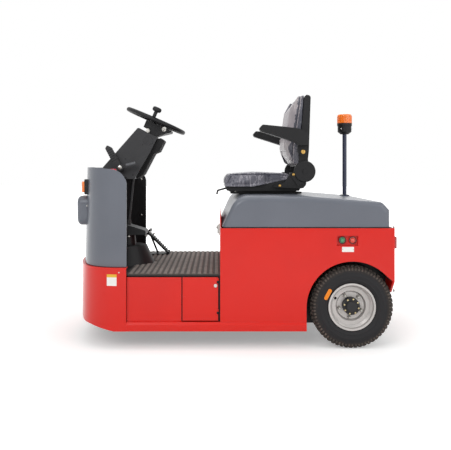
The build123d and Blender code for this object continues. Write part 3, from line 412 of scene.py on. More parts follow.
# a lug's sizes are width, depth and height; reach is from the axle, out is past the wheel's middle
wheelSizes = {
    "rear": (-548.5, 392, 209), "front": (642.5, 0, 209), "shoulderLugs": 72, "shoulderLug": (10.5, 15, 19),
    "centreLugs": 54, "centreLug": (15.5, 22, 7.5), "proud": 0.35, "treadTop": 203.5, "wallFoot": 166,
    "hubBolt": {"reach": 37, "out": 30, "angle": 14, "count": 8},
    "stud": {"reach": 59, "out": 14, "angle": 60, "count": 5},
    "valve": {"reach": 88, "out": -14, "angle": 26}, "hubEdge": 47,
    "label": {"reach": 140, "out": 53.4, "angle": 28, "wide": 19, "tall": 60},
    "sideWall": ((163, 54.8), (172, 54.4), (180, 53.2), (182, 53.9), (184, 53.2), (188, 51.5), (195, 48.5),
                 (199, 45), (201.5, 40), (202.5, 30)),
}


def dustyTyre(name, centre):
    # carbon-black rubber: grey-brown dust sits in the tread and thins out down the side wall
    mat, shader, place = startMaterial(name, {"IOR": 1.52, "Specular IOR Level": 0.25})
    onAxle = addNode(mat, "ShaderNodeMapping", {"Location": (-centre[0] * mm, 0, -centre[2] * mm)},
                     {"Vector": place})
    flat = addNode(mat, "ShaderNodeVectorMath", {1: (1, 0, 1)}, {0: onAxle.outputs["Vector"]},
                   operation="MULTIPLY")
    reach = addNode(mat, "ShaderNodeVectorMath", links={0: flat.outputs["Vector"]}, operation="LENGTH")
    tread = addNode(mat, "ShaderNodeMapRange", {"From Min": 0.156, "From Max": 0.2},
                    {"Value": reach.outputs["Value"]}, interpolation_type="SMOOTHSTEP")
    clouds = speckle(mat, place, 34, 6, 0.6)
    dust = addNode(mat, "ShaderNodeMath", links={0: tread.outputs["Result"], 1: clouds}, operation="MULTIPLY")
    colourFrom(mat, shader, ramp(mat, dust.outputs["Value"], srgb("#1F1E20"), srgb("#3B342F"), 0.16, 0.7))
    shadeRoughness(mat, shader, dust.outputs["Value"], 0.6, 0.9)
    bumpFrom(mat, shader, speckle(mat, place, 380, 3), 0.22, 0.0006)
    return mat


nutSteel = metalOf("greyNutSteel", "#8B8883", 0.34)
paleZinc = metalOf("yellowZincBolt", "#BDAE88", 0.34)
rearTyreRubber = dustyTyre("rearTyreRubber", wheelSizes["rear"])
frontTyreRubber = dustyTyre("frontTyreRubber", wheelSizes["front"])


def buildTyre():
    # carcass round +Z at the origin: bead, side wall with raised rings, shoulder, tread floor
    half = [(121.5, 40.5), (126, 45), (133, 49.5), (137, 51), (139, 52.6), (141, 52.6), (143, 51.8),
            (152, 54), (156, 54.6), (158, 55.5), (161, 55.5), *wheelSizes["sideWall"]]
    grooves = [(202.5, 14), (199, 13), (199, 9), (202.5, 8)]
    profile = half + grooves + [(r, -a) for r, a in reversed(half + grooves)] + [(113.5, -36), (113.5, 36)]
    tyre = turned(profile, 96, closed=True)
    wide, deep, tall = wheelSizes["shoulderLug"]
    lug = slab((-wide / 2, wide / 2), (186, 186 + tall), (34, 34 + deep))
    pickFaces(lug, isTop)
    bpy.ops.transform.translate(value=point(0, -1.5, 0))
    bpy.ops.transform.resize(value=(0.8, 0.62, 1))
    bpy.ops.transform.translate(value=point(0, -4.5, 3.6))
    objectMode()
    roundEdges(lug, 1.1, 1)
    far = mirrored(lug, Matrix.Rotation(math.radians(2.5), 4, "Z") @ Matrix.Diagonal((1, 1, -1, 1)))
    shoulders = ringOf(joined(far, lug), wheelSizes["shoulderLugs"], (0, 0, 0))
    wide, deep, tall = wheelSizes["centreLug"]
    block = slab((-wide / 2, wide / 2), (201.5, 201.5 + tall), (9.5, 9.5 + deep))
    pickFaces(block, isTop)
    bpy.ops.transform.translate(value=point(5, 0, 0))
    objectMode()
    roundEdges(block, 0.9, 1)
    other = twinOf(block, Matrix.Rotation(math.pi, 4, "Y") @ Matrix.Rotation(math.radians(3.3), 4, "Z"))
    freeze(other)
    centreBlocks = ringOf(joined(other, block), wheelSizes["centreLugs"], (0, 0, 0))
    rib = turned([(202, -7), (208.2, -6.2), (208.6, 0), (208.2, 6.2), (202, 7)], 96)
    bar = slab((-3.7, 3.7), (169, 203), (42, 52.5))
    pickFaces(bar, isTop)
    bpy.ops.transform.resize(value=(0.7, 0.94, 1))
    bpy.ops.transform.rotate(value=math.radians(11), orient_axis="X", center_override=point(0, 178, 53.5))
    objectMode()
    roundEdges(bar, 0.9, 1)
    farBar = mirrored(bar, Matrix.Diagonal((1, 1, -1, 1)))
    sideBars = ringOf(joined(farBar, bar), wheelSizes["shoulderLugs"], (0, 0, 0))
    whole = joined(shoulders, sideBars, centreBlocks, rib, tyre)
    whole.matrix_world = Matrix.Rotation(math.radians(-90), 4, "X")
    freeze(whole)
    return whole


def isProud(face, centre):
    # true for the lugs and side bars, which stand out from the carcass
    at = face.center / mm
    away = math.hypot(at.x - centre[0], at.z - centre[2])
    across = abs(at.y - centre[1])
    if away < wheelSizes["wallFoot"] or away > wheelSizes["treadTop"]:
        return away > wheelSizes["treadTop"]
    for (lowR, lowA), (highR, highA) in zip(wheelSizes["sideWall"], wheelSizes["sideWall"][1:]):
        if lowR <= away <= highR:
            wall = lowA + (highA - lowA) * (away - lowR) / (highR - lowR)
            return across > wall + wheelSizes["proud"]
    return False


def placeTyres():
    model = buildTyre()
    lugRubber = rubberOf("dustyLugRubber", "#3C3530", "#6A5E55", 30, 0.85)
    places = [("frontTyreDressed", "front", 1, "front_wheel", "front_tyre", frontTyreRubber),
              ("rearTyreLeftDressed", "rear", 1, "rear_wheel_left", "rear_tyre_left", rearTyreRubber),
              ("rearTyreRightDressed", "rear", -1, "rear_wheel_right", "rear_tyre_right", rearTyreRubber)]
    for name, key, side, body, node, finish in places:
        x, y, z = wheelSizes[key]
        turn = Matrix.Rotation(math.pi, 4, "Z") if side < 0 else Matrix.Identity(4)
        tyre = twinOf(model, Matrix.Translation(point(x, side * y, z)) @ turn)
        settle(tyre, name, body, finish, 25)
        tyre.data.materials.append(lugRubber)
        for face in tyre.data.polygons:
            face.material_index = 1 if isProud(face, (x, side * y, z)) else 0
        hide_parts(node)
    bpy.data.objects.remove(model)


def onWheel(trim, side, index=0):
    # the place of one bolt, stem or label on a rear wheel, and its angle round the axle
    x, y, z = wheelSizes["rear"]
    turn = math.radians(360 / trim.get("count", 1) * index + trim["angle"])
    at = (x + trim["reach"] * math.cos(turn), side * (y + trim["out"]), z + trim["reach"] * math.sin(turn))
    return at, turn


def wheelRing(model, trim, side):
    places = [onWheel(trim, side, index) for index in range(trim["count"])]
    return stamp(model, [(at, (0, side, 0), turn) for at, turn in places])


def trimWheel(label, side):
    # bolts on the black hub cap, plated nuts and studs, valve stem
    body = "rear_wheel_" + label.lower()
    ring = wheelRing(hexBolt(6.2, 3.6), wheelSizes["hubBolt"], side)
    settle(ring, "hubBolts" + label, body, paleZinc)
    x, y, z = wheelSizes["rear"]
    hub = nodes["rear_hub_" + label.lower()].data
    hub.materials.append(nutSteel)
    for face in hub.polygons:
        away = math.hypot(face.center.x - x * mm, face.center.z - z * mm)
        face.material_index = 1 if away > wheelSizes["hubEdge"] * mm else 0
    tip = turned([(0, 6), (3, 6), (4.4, 4.6), (4.4, 0), (0, 0)], 16)
    studs = wheelRing(tip, wheelSizes["stud"], side)
    settle(studs, "wheelStuds" + label, body, brightSteel)
    stem = turned([(0, 24), (2.6, 24), (3.4, 22), (3.4, 12), (4.6, 11), (5.2, 0), (0, 0)], 16)
    at, turn = onWheel(wheelSizes["valve"], side)
    lean = (0.15 * math.cos(turn), side, 0.15 * math.sin(turn))
    settle(stamp(stem, [(at, lean, 0)]), "valveStem" + label, body, sealRubber)


def stickLabel():
    # a blank label with round ends on the left tyre's side wall: a disc whose halves are drawn apart
    label = wheelSizes["label"]
    sticker = drum(label["wide"] / 2, 0.9, 32)
    for end in (1, -1):
        pickFaces(sticker, lambda face: False)
        bpy.ops.mesh.select_mode(type="VERT")
        objectMode()
        for vertex in sticker.data.vertices:
            vertex.select = vertex.co.y * end > 0.0001
        bpy.ops.object.mode_set(mode="EDIT")
        bpy.ops.transform.translate(value=point(0, end * (label["tall"] - label["wide"]) / 2, 0))
        objectMode()
    at, turn = onWheel(label, 1)
    frameTurn = Matrix.Rotation(-turn, 4, "Y") @ Matrix.Rotation(math.radians(-90), 4, "X")
    sticker.matrix_world = Matrix.Translation(point(*at)) @ frameTurn
    settle(sticker, "tyreLabel", "rear_wheel_left", orangeLabel)


placeTyres()
trimWheel("Left", 1)
trimWheel("Right", -1)
stickLabel()
print("wheels dressed")


# seat and backrest

seatSizes = {
    "voxel": 6.5, "pressure": 4.0, "frames": 20, "cap": 24, "held": 5, "welt": 2.6,
    "seatShrink": (0.955, 0.955, 0.9), "seatBox": (-277, 116), "outerHalf": 229.5, "innerHalf": 204.4,
    "innerFrom": -128, "pan": 809.3, "panBend": -60, "crown": 894, "softTop": 9,
    "backShrink": (0.88, 0.97, 0.975), "backHalf": 214.5, "backFront": -238, "backLow": 921,
    "backHigh": 1294, "backTop": 1303, "shell": -306, "shellGap": 0.4,
}


def filmedVinyl(name, colour, deeper, pale):
    # calendered grey vinyl under a loose clear film, creases 40 mm apart: the pale colour mixed into the base
    # colour along the creases and over patches is painted reflection of white light on the film
    mat, shader, place = startMaterial(name, {"Roughness": 0.46, "Specular IOR Level": 0.3,
                                              "Coat Weight": 0.3, "Coat Roughness": 0.12})
    drawn = addNode(mat, "ShaderNodeMapping", {"Scale": (1.5, 1.0, 0.45)}, {"Vector": place})
    creases = speckle(mat, drawn.outputs["Vector"], 17, 4, 0.7)
    middle = addNode(mat, "ShaderNodeMath", {1: 0.5}, {0: creases}, operation="SUBTRACT")
    width = addNode(mat, "ShaderNodeMath", links={0: middle.outputs["Value"]}, operation="ABSOLUTE")
    ridge = addNode(mat, "ShaderNodeMapRange",
                    {"From Min": 0.0, "From Max": 0.04, "To Min": 0.62, "To Max": 0.0},
                    {"Value": width.outputs["Value"]}, interpolation_type="SMOOTHSTEP")
    patch = addNode(mat, "ShaderNodeMapRange", {"From Min": 0.42, "From Max": 0.62},
                    {"Value": speckle(mat, place, 6.5, 3, 0.8)})
    # painted reflection: the crease ridges over the film patches, plus a faint haze on the patches, take the
    # pale colour
    paintedShine = addNode(mat, "ShaderNodeMath", links={0: ridge.outputs["Result"], 1: patch.outputs["Result"]},
                    operation="MULTIPLY")
    paintedHaze = addNode(mat, "ShaderNodeMath", {1: 0.16}, {0: patch.outputs["Result"]}, operation="MULTIPLY")
    paintedSheen = addNode(mat, "ShaderNodeMath", links={0: paintedShine.outputs["Value"], 1: paintedHaze.outputs["Value"]},
                   operation="ADD")
    ground = ramp(mat, speckle(mat, place, 11, 4), srgb(deeper), srgb(colour))
    mix = addNode(mat, "ShaderNodeMix", data_type="RGBA")
    mat.node_tree.links.new(paintedSheen.outputs["Value"], mix.inputs["Factor"])
    mat.node_tree.links.new(ground, mix.inputs["A"])
    mix.inputs["B"].default_value = srgb(pale)
    colourFrom(mat, shader, mix.outputs["Result"])
    grain = speckle(mat, place, 500, 2)
    height = addNode(mat, "ShaderNodeMath", {2: 0.12},
                     {0: ridge.outputs["Result"], 1: patch.outputs["Result"]}, operation="MULTIPLY_ADD")
    folds = addNode(mat, "ShaderNodeBump", {"Strength": 0.55, "Distance": 0.003},
                    {"Height": height.outputs["Value"]})
    fine = addNode(mat, "ShaderNodeBump", {"Strength": 0.12, "Distance": 0.0006},
                   {"Height": grain, "Normal": folds.outputs["Normal"]})
    mat.node_tree.links.new(fine.outputs["Normal"], shader.inputs["Normal"])
    mat.node_tree.links.new(folds.outputs["Normal"], shader.inputs["Coat Normal"])
    return mat


# the last colour of each vinyl is its painted reflection on the film
cushionVinyl = filmedVinyl("filmedGreyVinyl", "#4B4C58", "#393A45", "#A7A3AB")
# a paler copy of the vinyl for the backrest's front: painted light, the film's reflection on the side facing
# the lamps
paintedLightFrontVinyl = filmedVinyl("filmedFrontVinylPaintedLight", "#ADA5A8", "#948D93", "#EFE7E5")
pipingVinyl = mouldedPlastic("pipingVinyl", "#3E3E48", "#4A4A54", 1.5, 0.4)


def padFrom(node, held, shrink):
    # inflates a slightly smaller copy of the solid; held(co) marks what its carrier keeps flat
    source = nodes[node]
    pad = source.copy()
    pad.data = source.data.copy()
    bpy.context.collection.objects.link(pad)
    for key in list(pad.keys()):
        del pad[key]
    pad.parent = None
    pad.matrix_world = Matrix.Identity(4)
    low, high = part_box(node)
    pick(pad)
    bpy.ops.object.mode_set(mode="EDIT")
    bpy.ops.mesh.select_all(action="SELECT")
    bpy.ops.mesh.remove_doubles(threshold=0.00005)
    objectMode()
    remesh = pad.modifiers.new("evenSkin", "REMESH")
    remesh.mode = "VOXEL"
    remesh.voxel_size = seatSizes["voxel"] * mm
    bpy.ops.object.modifier_apply(modifier=remesh.name)
    middle = (low + high) / 2
    anchor = [v.co.copy() for v in pad.data.vertices]
    group = pad.vertex_groups.new(name="held")
    for vertex, at in zip(pad.data.vertices, anchor):
        if held(at / mm):
            group.add([vertex.index], 1.0, "REPLACE")
        else:
            for axis in range(3):
                vertex.co[axis] = middle[axis] + (at[axis] - middle[axis]) * shrink[axis]
    pad.data.update()
    start = [v.co.copy() for v in pad.data.vertices]
    cloth = pad.modifiers.new("stuffing", "CLOTH")
    settings = cloth.settings
    settings.quality = 5
    settings.use_pressure = True
    settings.uniform_pressure_force = seatSizes["pressure"]
    settings.effector_weights.gravity = 0
    settings.tension_stiffness = 12
    settings.compression_stiffness = 12
    settings.bending_stiffness = 1.2
    settings.vertex_group_mass = "held"
    cloth.point_cache.frame_start = 1
    cloth.point_cache.frame_end = seatSizes["frames"]
    for frameNumber in range(1, seatSizes["frames"] + 1):
        bpy.context.scene.frame_set(frameNumber)
    pick(pad)
    bpy.ops.object.modifier_apply(modifier=cloth.name)
    bpy.context.scene.frame_set(1)
    cap = seatSizes["cap"] * mm
    for vertex, was in zip(pad.data.vertices, start):
        move = vertex.co - was
        if move.length > cap:
            vertex.co = was + move * (cap / move.length)
    return pad


def sew(pad, seams):
    # pulls the skin in along sewn lines; each seam is (distance in mm from it, half width, depth, where)
    pad.data.update()
    skin = [(vertex.co.copy(), vertex.normal.copy()) for vertex in pad.data.vertices]
    for vertex, (co, normal) in zip(pad.data.vertices, skin):
        at = co / mm
        pull = 0.0
        for away, half, depth, where in seams:
            distance = abs(away(at))
            if distance < half and where(at, normal):
                pull = max(pull, depth * (1 - distance / half) ** 2)
        vertex.co = co - normal * pull * mm
    pad.data.update()


def creaseSkin(pad, strength=2.2, size=0.035):
    # loose film creases a few centimetres apart
    texture = bpy.data.textures.new("filmCreases", "CLOUDS")
    texture.noise_scale = size
    texture.noise_depth = 3
    ripple = pad.modifiers.new("filmCreases", "DISPLACE")
    ripple.texture = texture
    ripple.texture_coords = "LOCAL"
    ripple.strength = strength * mm
    ripple.mid_level = 0.5
    pick(pad)
    bpy.ops.object.modifier_apply(modifier=ripple.name)


def smoothOnce(pad):
    pick(pad)
    finer = pad.modifiers.new("finer", "SUBSURF")
    finer.levels = 1
    finer.render_levels = 1
    bpy.ops.object.modifier_apply(modifier=finer.name)


def clampPad(pad, limits):
    for vertex in pad.data.vertices:
        vertex.co = Vector(limits(vertex.co / mm)) * mm
    pad.data.update()


def seamLine(pad, starts, radius, name):
    # piping laid on the skin, found by looking inward from (start, direction) in mm
    line = []
    for start, direction in starts:
        found, at, normal, index = pad.ray_cast(point(*start), Vector(direction))
        if found:
            line.append(tuple((at + normal * 0.4 * mm) / mm))
    return tube(line, radius, name)


def panHeight(x):
    # the seat's pan is level in front and rises towards the back
    bend = seatSizes["panBend"]
    return seatSizes["pan"] if x > bend else seatSizes["pan"] + (bend - x) * 44 / 216


def weltHeight(x):
    return 876 - max(0, x - 60) * 0.16 - max(0, -160 - x) * 0.05


def shellFace(z, front):
    # the backrest's shell leans back 32 mm over 374 mm
    return front - (z - 916) * 32 / 374


def buildSeatCushion():
    # flat on its pan, crowned above, boxed sides with a welt round the top and two sewn channels
    def onPan(at):
        return at.z < panHeight(at.x) + seatSizes["held"]

    def limits(at):
        half = seatSizes["outerHalf"] if at.x > seatSizes["innerFrom"] else seatSizes["innerHalf"]
        crown = seatSizes["crown"] - max(0, at.x + 80) * 0.075 - max(0, -80 - at.x) * 0.047
        soft = seatSizes["softTop"]
        over = max(0, at.z - crown + soft)
        top = at.z if not over else crown - soft * math.exp(-over / soft)
        rear, front = seatSizes["seatBox"]
        return (min(max(at.x, rear), front), min(max(at.y, -half), half), max(top, panHeight(at.x)))

    pad = padFrom("seat_cushion", onPan, seatSizes["seatShrink"])
    clampPad(pad, limits)
    smoothOnce(pad)
    isTopSkin = lambda at, normal: normal.z > 0.35
    isSide = lambda at, normal: normal.z < 0.8 and at.z > 826
    fromWelt = lambda at: at.z - weltHeight(at.x)
    sew(pad, [(lambda at: at.y - 138, 9, 6, isTopSkin), (lambda at: at.y + 138, 9, 6, isTopSkin),
              (lambda at: at.x - 46, 9, 5, isTopSkin), (fromWelt, 6, 3, isSide),
              (lambda at: at.x - 66, 6, 2.4, lambda at, normal: abs(normal.y) > 0.6 and at.z < 872)])
    creaseSkin(pad)
    clampPad(pad, limits)
    settle(pad, "seatCushionPad", "seat", cushionVinyl, 60)
    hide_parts("seat_cushion")
    heights = [(x, weltHeight(x)) for x in range(-262, 81, 18)]
    left = [((x, 300, z), (0, -1, 0)) for x, z in heights if x < -150 or x > -120]
    front = [((300, y, 867), (-1, 0, 0)) for y in range(180, -181, -20)]
    cornerLeft = [((100 + 90 * math.cos(a), 140 + 150 * math.sin(a), 870), (-math.cos(a), -math.sin(a), 0))
                  for a in (1.15, 0.8, 0.45)]
    right = [((x, -300, z), (0, 1, 0)) for x, z in reversed(heights) if x < -150 or x > -120]
    cornerRight = [((s[0], -s[1], s[2]), (d[0], -d[1], 0)) for s, d in reversed(cornerLeft)]
    welt = seamLine(pad, left + cornerLeft + front + cornerRight + right, seatSizes["welt"], "seatWelt")
    settle(welt, "seatWelt", "seat", pipingVinyl, 60)


def buildBackCushion():
    # lumbar roll below, taller pad above, welt between the front panel and the side bolsters
    shell = seatSizes["shell"]
    clear = shell + seatSizes["shellGap"]
    half = seatSizes["backHalf"]
    topZ = seatSizes["backTop"]

    def onShell(at):
        return at.x < shellFace(at.z, shell) + seatSizes["held"]

    def limits(at):
        soft = seatSizes["softTop"]
        lifted = at.z + max(0, at.z - 1150) * 0.17
        over = max(0, lifted - seatSizes["backHigh"])
        top = topZ - soft * math.exp(-over / soft) if over else lifted
        return (min(max(at.x, shellFace(at.z, clear)), seatSizes["backFront"]), min(max(at.y, -half), half),
                max(top, seatSizes["backLow"]))

    pad = padFrom("backrest_cushion", onShell, seatSizes["backShrink"])
    clampPad(pad, limits)
    smoothOnce(pad)
    midX = lambda z: -276 - max(0, z - 1010) * 0.148
    onSide = lambda at, normal: normal.x < 0.72
    onFront = lambda at, normal: normal.x > 0.4
    sew(pad, [(lambda at: at.x - midX(at.z), 7, 4, onSide), (lambda at: at.y - 128, 9, 6, onFront),
              (lambda at: at.y + 128, 9, 6, onFront), (lambda at: at.z - 1085, 10, 6, onFront),
              (lambda at: at.z - 1005, 8, 4, lambda at, normal: normal.x > 0.4 and abs(at.y) < 128)])
    creaseSkin(pad, 2.4, 0.04)
    clampPad(pad, lambda at: (max(at.x, shellFace(at.z, clear)), at.y, min(at.z, topZ)))
    settle(pad, "backrestPad", "backrest", cushionVinyl, 60)
    # faces turned to the front take the paler copy: painted light on the front of the pad
    pad.data.materials.append(paintedLightFrontVinyl)
    for face in pad.data.polygons:
        face.material_index = 1 if face.normal.x > 0.5 else 0
    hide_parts("backrest_cushion")
    rise = [((midX(z), 300, z), (0, -1, 0)) for z in range(935, 1276, 17)]
    over = [((midX(1290), y, 1400), (0, 0, -1)) for y in range(190, -191, -20)]
    fall = [((x, -y, z), (0, 1, 0)) for (x, y, z), direction in reversed(rise)]
    welt = seamLine(pad, rise + over + fall, seatSizes["welt"], "backWelt")
    settle(welt, "backWelt", "backrest", pipingVinyl, 60)


buildSeatCushion()
print("seat cushion stuffed")
buildBackCushion()
print("backrest stuffed")


# cowl, lamps, column and controls

cowlSizes = {
    "middleX": 500, "lampX": 860.5, "lensX": 871.4, "bezel": 51.2, "reflector": 47.5, "flute": 1.5,
    "fluteStep": 11, "fluteReach": 45, "lampPlaces": ((215, 691), (-215, 691)),
    "turnX": 842.5, "turnPlaces": ((267, 811), (-267, 811)),
}


def lineCowl():
    # the cowl is painted outside; its inner faces are made black as painted shade for its dark rear opening
    shell = nodes["front_cowl"].data
    shell.materials.append(blackTrimAndPaintedShade)
    for face in shell.polygons:
        ahead = face.center.x - cowlSizes["middleX"] * mm
        outward = face.normal.x * ahead + face.normal.y * face.center.y
        rearEdge = face.normal.x < -0.9
        face.material_index = 0 if outward > 0 or rearEdge else 1


def dressHeadlamps():
    # plated bezels, reflector bowls with their bulbs, and upright flutes across the glass
    front, lensX = cowlSizes["lampX"], cowlSizes["lensX"]
    rims = [((front, y, z), (1, 0, 0), 0) for y, z in cowlSizes["lampPlaces"]]
    bowls = [((front - 0.5, y, z), (1, 0, 0), 0) for y, z in cowlSizes["lampPlaces"]]
    bulbs = list(rims)
    flutes = []
    for y, z in cowlSizes["lampPlaces"]:
        for index in range(-4, 5):
            across = index * cowlSizes["fluteStep"]
            half = math.sqrt(cowlSizes["fluteReach"] ** 2 - across ** 2)
            ends = [(lensX, y + across, z - half), (lensX, y + across, z + half)]
            flutes.append(tube(ends, cowlSizes["flute"], "flute", False))
    bezel = cowlSizes["bezel"]
    ring = turned([(bezel - 4, 9), (bezel - 3.4, 11.4), (bezel - 1.6, 12.4), (bezel + 1.4, 11.8),
                   (bezel + 2, 10), (bezel - 0.2, 9)], 64, closed=True)
    settle(stamp(ring, rims), "headlampBezels", "chassis", brightSteel)
    reach = cowlSizes["reflector"]
    bowl = turned([(0, 1.2), (14, 1.4), (26, 2.6), (38, 5.4), (reach - 1.5, 9.6), (reach, 9.8), (reach, 9),
                   (38, 3.8), (14, 0.4), (0, 0.3)], 48)
    settle(stamp(bowl, bowls), "headlampReflectors", "chassis", brightSteel)
    bulb = turned([(0, 9.5), (4, 8.9), (6.5, 7), (7.4, 4), (9, 1.4), (9, 0.8), (0, 0.8)], 24)
    settle(stamp(bulb, bulbs), "headlampBulbs", "chassis", clearLens)
    settle(joined(*flutes), "headlampFlutes", "chassis", clearLens)
    screws = [((818, side * 285.2, 711), (0, side, 0), 0.4) for side in (1, -1)]
    settle(stamp(panScrew(9, 3.2), screws), "headlampScrews", "chassis", brightSteel)


def lensRibs(depth, y, z, step, half):
    # seven level ribs, 40 mm long, moulded across a lamp's lens
    ribs = []
    for index in range(-3, 4):
        rib = slab(depth, (y - 20, y + 20), (z + index * step - half, z + index * step + half))
        roundEdges(rib, 0.7, 2)
        ribs.append(rib)
    return ribs


def dressTurnLamps():
    # moulded ribs across each amber lens and a screw above and below
    ribs = []
    screws = []
    front = cowlSizes["turnX"]
    for y, z in cowlSizes["turnPlaces"]:
        ribs += lensRibs((front + 0.1, front + 1.9), y, z, 5.5, 1.2)
        screws += [((front, y, z + up), (1, 0, 0), 0.8) for up in (23.5, -23.5)]
    settle(joined(*ribs), "turnLampRibs", "chassis", amberLens)
    settle(stamp(panScrew(6, 2.4), screws), "turnLampScrews", "chassis", brightSteel)


columnSizes = {
    "wheel": (481.5, 0, 1179.5), "tilt": 23.3, "gripCircle": 166.5, "gripBumps": 54, "gripGap": (0, 1),
    "clamp": (519, 84.5, 1120), "screws": ((724, 876), (600, 872), (642, 962), (548, 1040)),
}


def dressWheelHub():
    # hub button with rings below it, and bumps under the rim between the spokes
    tilt = Matrix.Rotation(-math.radians(columnSizes["tilt"]), 4, "Y")
    wheelTurn = Matrix.Translation(point(*columnSizes["wheel"])) @ tilt
    button = turned([(0, 16.5), (12, 16), (19, 14.6), (22, 12), (22, 10), (0, 10)], 40)
    button.matrix_world = wheelTurn
    settle(button, "wheelHubButton", "steering_wheel", darkPlastic)
    grooves = []
    for index in range(3):
        ring = turned([(23.5, 11.2), (24.6, 12.6), (25.8, 11.2), (24.6, 10.6)], 40, closed=True)
        ring.matrix_world = wheelTurn @ Matrix.Translation(point(0, 0, -3.2 * index))
        freeze(ring)
        grooves.append(ring)
    settle(joined(*grooves), "wheelHubRings", "steering_wheel", blackPlastic)
    bumps = []
    reach, count = columnSizes["gripCircle"], columnSizes["gripBumps"]
    for index in range(count):
        if index % 9 in columnSizes["gripGap"]:
            continue
        turn = 2 * math.pi * index / count
        bump = turned([(0, 2.2), (3.2, 1.4), (4.2, 0), (0, 0)], 10)
        below = Matrix.Translation(point(reach * math.cos(turn), reach * math.sin(turn), -9.2))
        bump.matrix_world = wheelTurn @ below @ Matrix.Rotation(math.pi, 4, "X")
        bumps.append(bump)
    freeze(joined(*bumps))
    settle(bpy.context.object, "wheelGripBumps", "steering_wheel", blackPlastic)


def dressColumn():
    # clamp bolts, cover screws, wheel hub and the ignition lock with its key beside the column head
    x, y, z = columnSizes["clamp"]
    bolt = [((x, side * y, z), (0, side, 0), 0.2) for side in (1, -1)]
    settle(stamp(hexBolt(15, 8), bolt), "columnClampBolts", "chassis", brightSteel)
    screws = []
    for x, z in columnSizes["screws"]:
        half = 110 - (z - 850) / 288 * 28
        screws += [((x, side * (half - 0.6), z), (0, side, 0.1), 0.5) for side in (1, -1)]
    settle(stamp(panScrew(8, 2.6), screws), "coverScrews", "chassis", blackPlastic)
    dressWheelHub()
    lock = turned([(0, 9), (7, 9), (9, 7.5), (12, 6.5), (13.5, 4), (13.5, 0), (0, 0)], 32)
    key = slab((-1.2, 1.2), (-9, 9), (8, 30))
    pickFaces(key, isTop)
    bpy.ops.transform.resize(value=(1, 1.25, 1))
    objectMode()
    roundEdges(key, 0.8, 2)
    spot = joined(key, lock)
    placed = stamp(spot, [((430, 67, 1128), (0, 1, 0), 0.5)])
    settle(placed, "keySwitch", "chassis", brightSteel)


sleevePlastic = mouldedPlastic("greyLeverSleeve", "#5B5C60", "#66676B", 1.2, 0.4)


def dressLevers():
    # rubber bands on the brake lever's grip, the direction lever's sleeve and nut, the stop button's collar
    grip = []
    for index in range(6):
        share = 0.4 + index * 0.1
        x, z = 672 + 58 * share, 910 + 110 * share
        band = slab((x - 18, x + 18), (120.6, 145.4), (z - 2, z + 2))
        roundEdges(band, 1.6, 2)
        band.matrix_world = (Matrix.Translation(point(x, 133, z)) @ Matrix.Rotation(math.radians(28), 4, "Y")
                             @ Matrix.Translation(-point(x, 133, z)))
        freeze(band)
        grip.append(band)
    settle(joined(*grip), "leverGripBands", "chassis", sealRubber)
    sleeve = tube([(632, 151, 925.5), (604, 151, 931.5), (580, 151, 937)], 9.4, "leverSleeve")
    settle(sleeve, "directionLeverSleeve", "chassis", sleevePlastic)
    caps = [((664, 162, 914), (0, 1, 0), 0.3)]
    settle(stamp(hexBolt(15, 6), caps), "leverPivotNut", "chassis", brightSteel)
    collar = turned([(19.4, 0), (21.6, 1.2), (21.6, 4.8), (19.4, 6)], 40, closed=True)
    settle(stamp(collar, [((694, 214, 890), (0, 0, 1), 0)]), "stopButtonCollar", "chassis", yellowBand)


# first and step are distances up the pad from its toe, and strip is half width, half length and height
pedalSizes = {
    "accelerator": {"strips": 9, "first": 24, "step": 15, "toe": (428, -322, 393), "rise": 124, "run": 126,
                    "strip": (3, 34, 3.4), "edge": 1.2},
    "brake": {"strips": 5, "first": 6, "step": 9.5, "toe": (558.5, -185, 499.5), "rise": 40, "run": -38,
              "strip": (2.4, 36, 3), "edge": 1.0},
    "spring": {"coil": 6, "wire": 1.1, "points": 145, "at": (690, -152, 545), "along": (0.42, 0.55)},
}


def dressPedals():
    # ribbed rubber on the pedal pads and a return spring on the brake lever
    strips = []
    for key in ("accelerator", "brake"):
        pedal = pedalSizes[key]
        slope = math.atan2(pedal["rise"], pedal["run"])
        half, wide, tall = pedal["strip"]
        x, y, z = pedal["toe"]
        for index in range(pedal["strips"]):
            reach = pedal["first"] + index * pedal["step"]
            strip = slab((-half, half), (-wide, wide), (0, tall))
            roundEdges(strip, pedal["edge"], 2)
            at = point(x + reach * math.cos(slope), y, z + reach * math.sin(slope))
            strip.matrix_world = Matrix.Translation(at) @ Matrix.Rotation(-slope, 4, "Y")
            freeze(strip)
            strips.append(strip)
    settle(joined(*strips), "pedalRubbers", "chassis", sealRubber)
    spring = pedalSizes["spring"]
    (x, y, z), (back, down), reach = spring["at"], spring["along"], spring["coil"]
    coil = []
    for index in range(spring["points"]):
        turn = index * math.pi / 6
        coil.append((x - index * back + reach * math.cos(turn), y + reach * math.sin(turn), z - index * down))
    settle(tube(coil, spring["wire"], "pedalSpring"), "pedalSpring", "chassis", brightSteel)


# a darker copy of the mat rubber for the ground between the ribs: painted shade
paintedShadeGrooveRubber = rubberOf("matGroovePaintedShade", "#3A3430", "#4E4640", 22, 0.85, 0.3)

floorSizes = {
    "firstRib": 134, "lastRib": 574, "step": 29, "rib": 9.5, "half": 438, "heights": (376.2, 380.4),
    "well": 162, "wellClear": 3, "wellBolts": 150, "wellTop": 533,
}


def ribSpans(x):
    # a rib runs across the mat, or from each side to the front wheel's well
    half, well = floorSizes["half"], floorSizes["well"]
    away = abs(wheelSizes["front"][0] - x)
    if away >= well:
        return ((-half, half),)
    inner = math.sqrt(well ** 2 - away ** 2) + floorSizes["wellClear"]
    return ((inner, half), (-half, -inner))


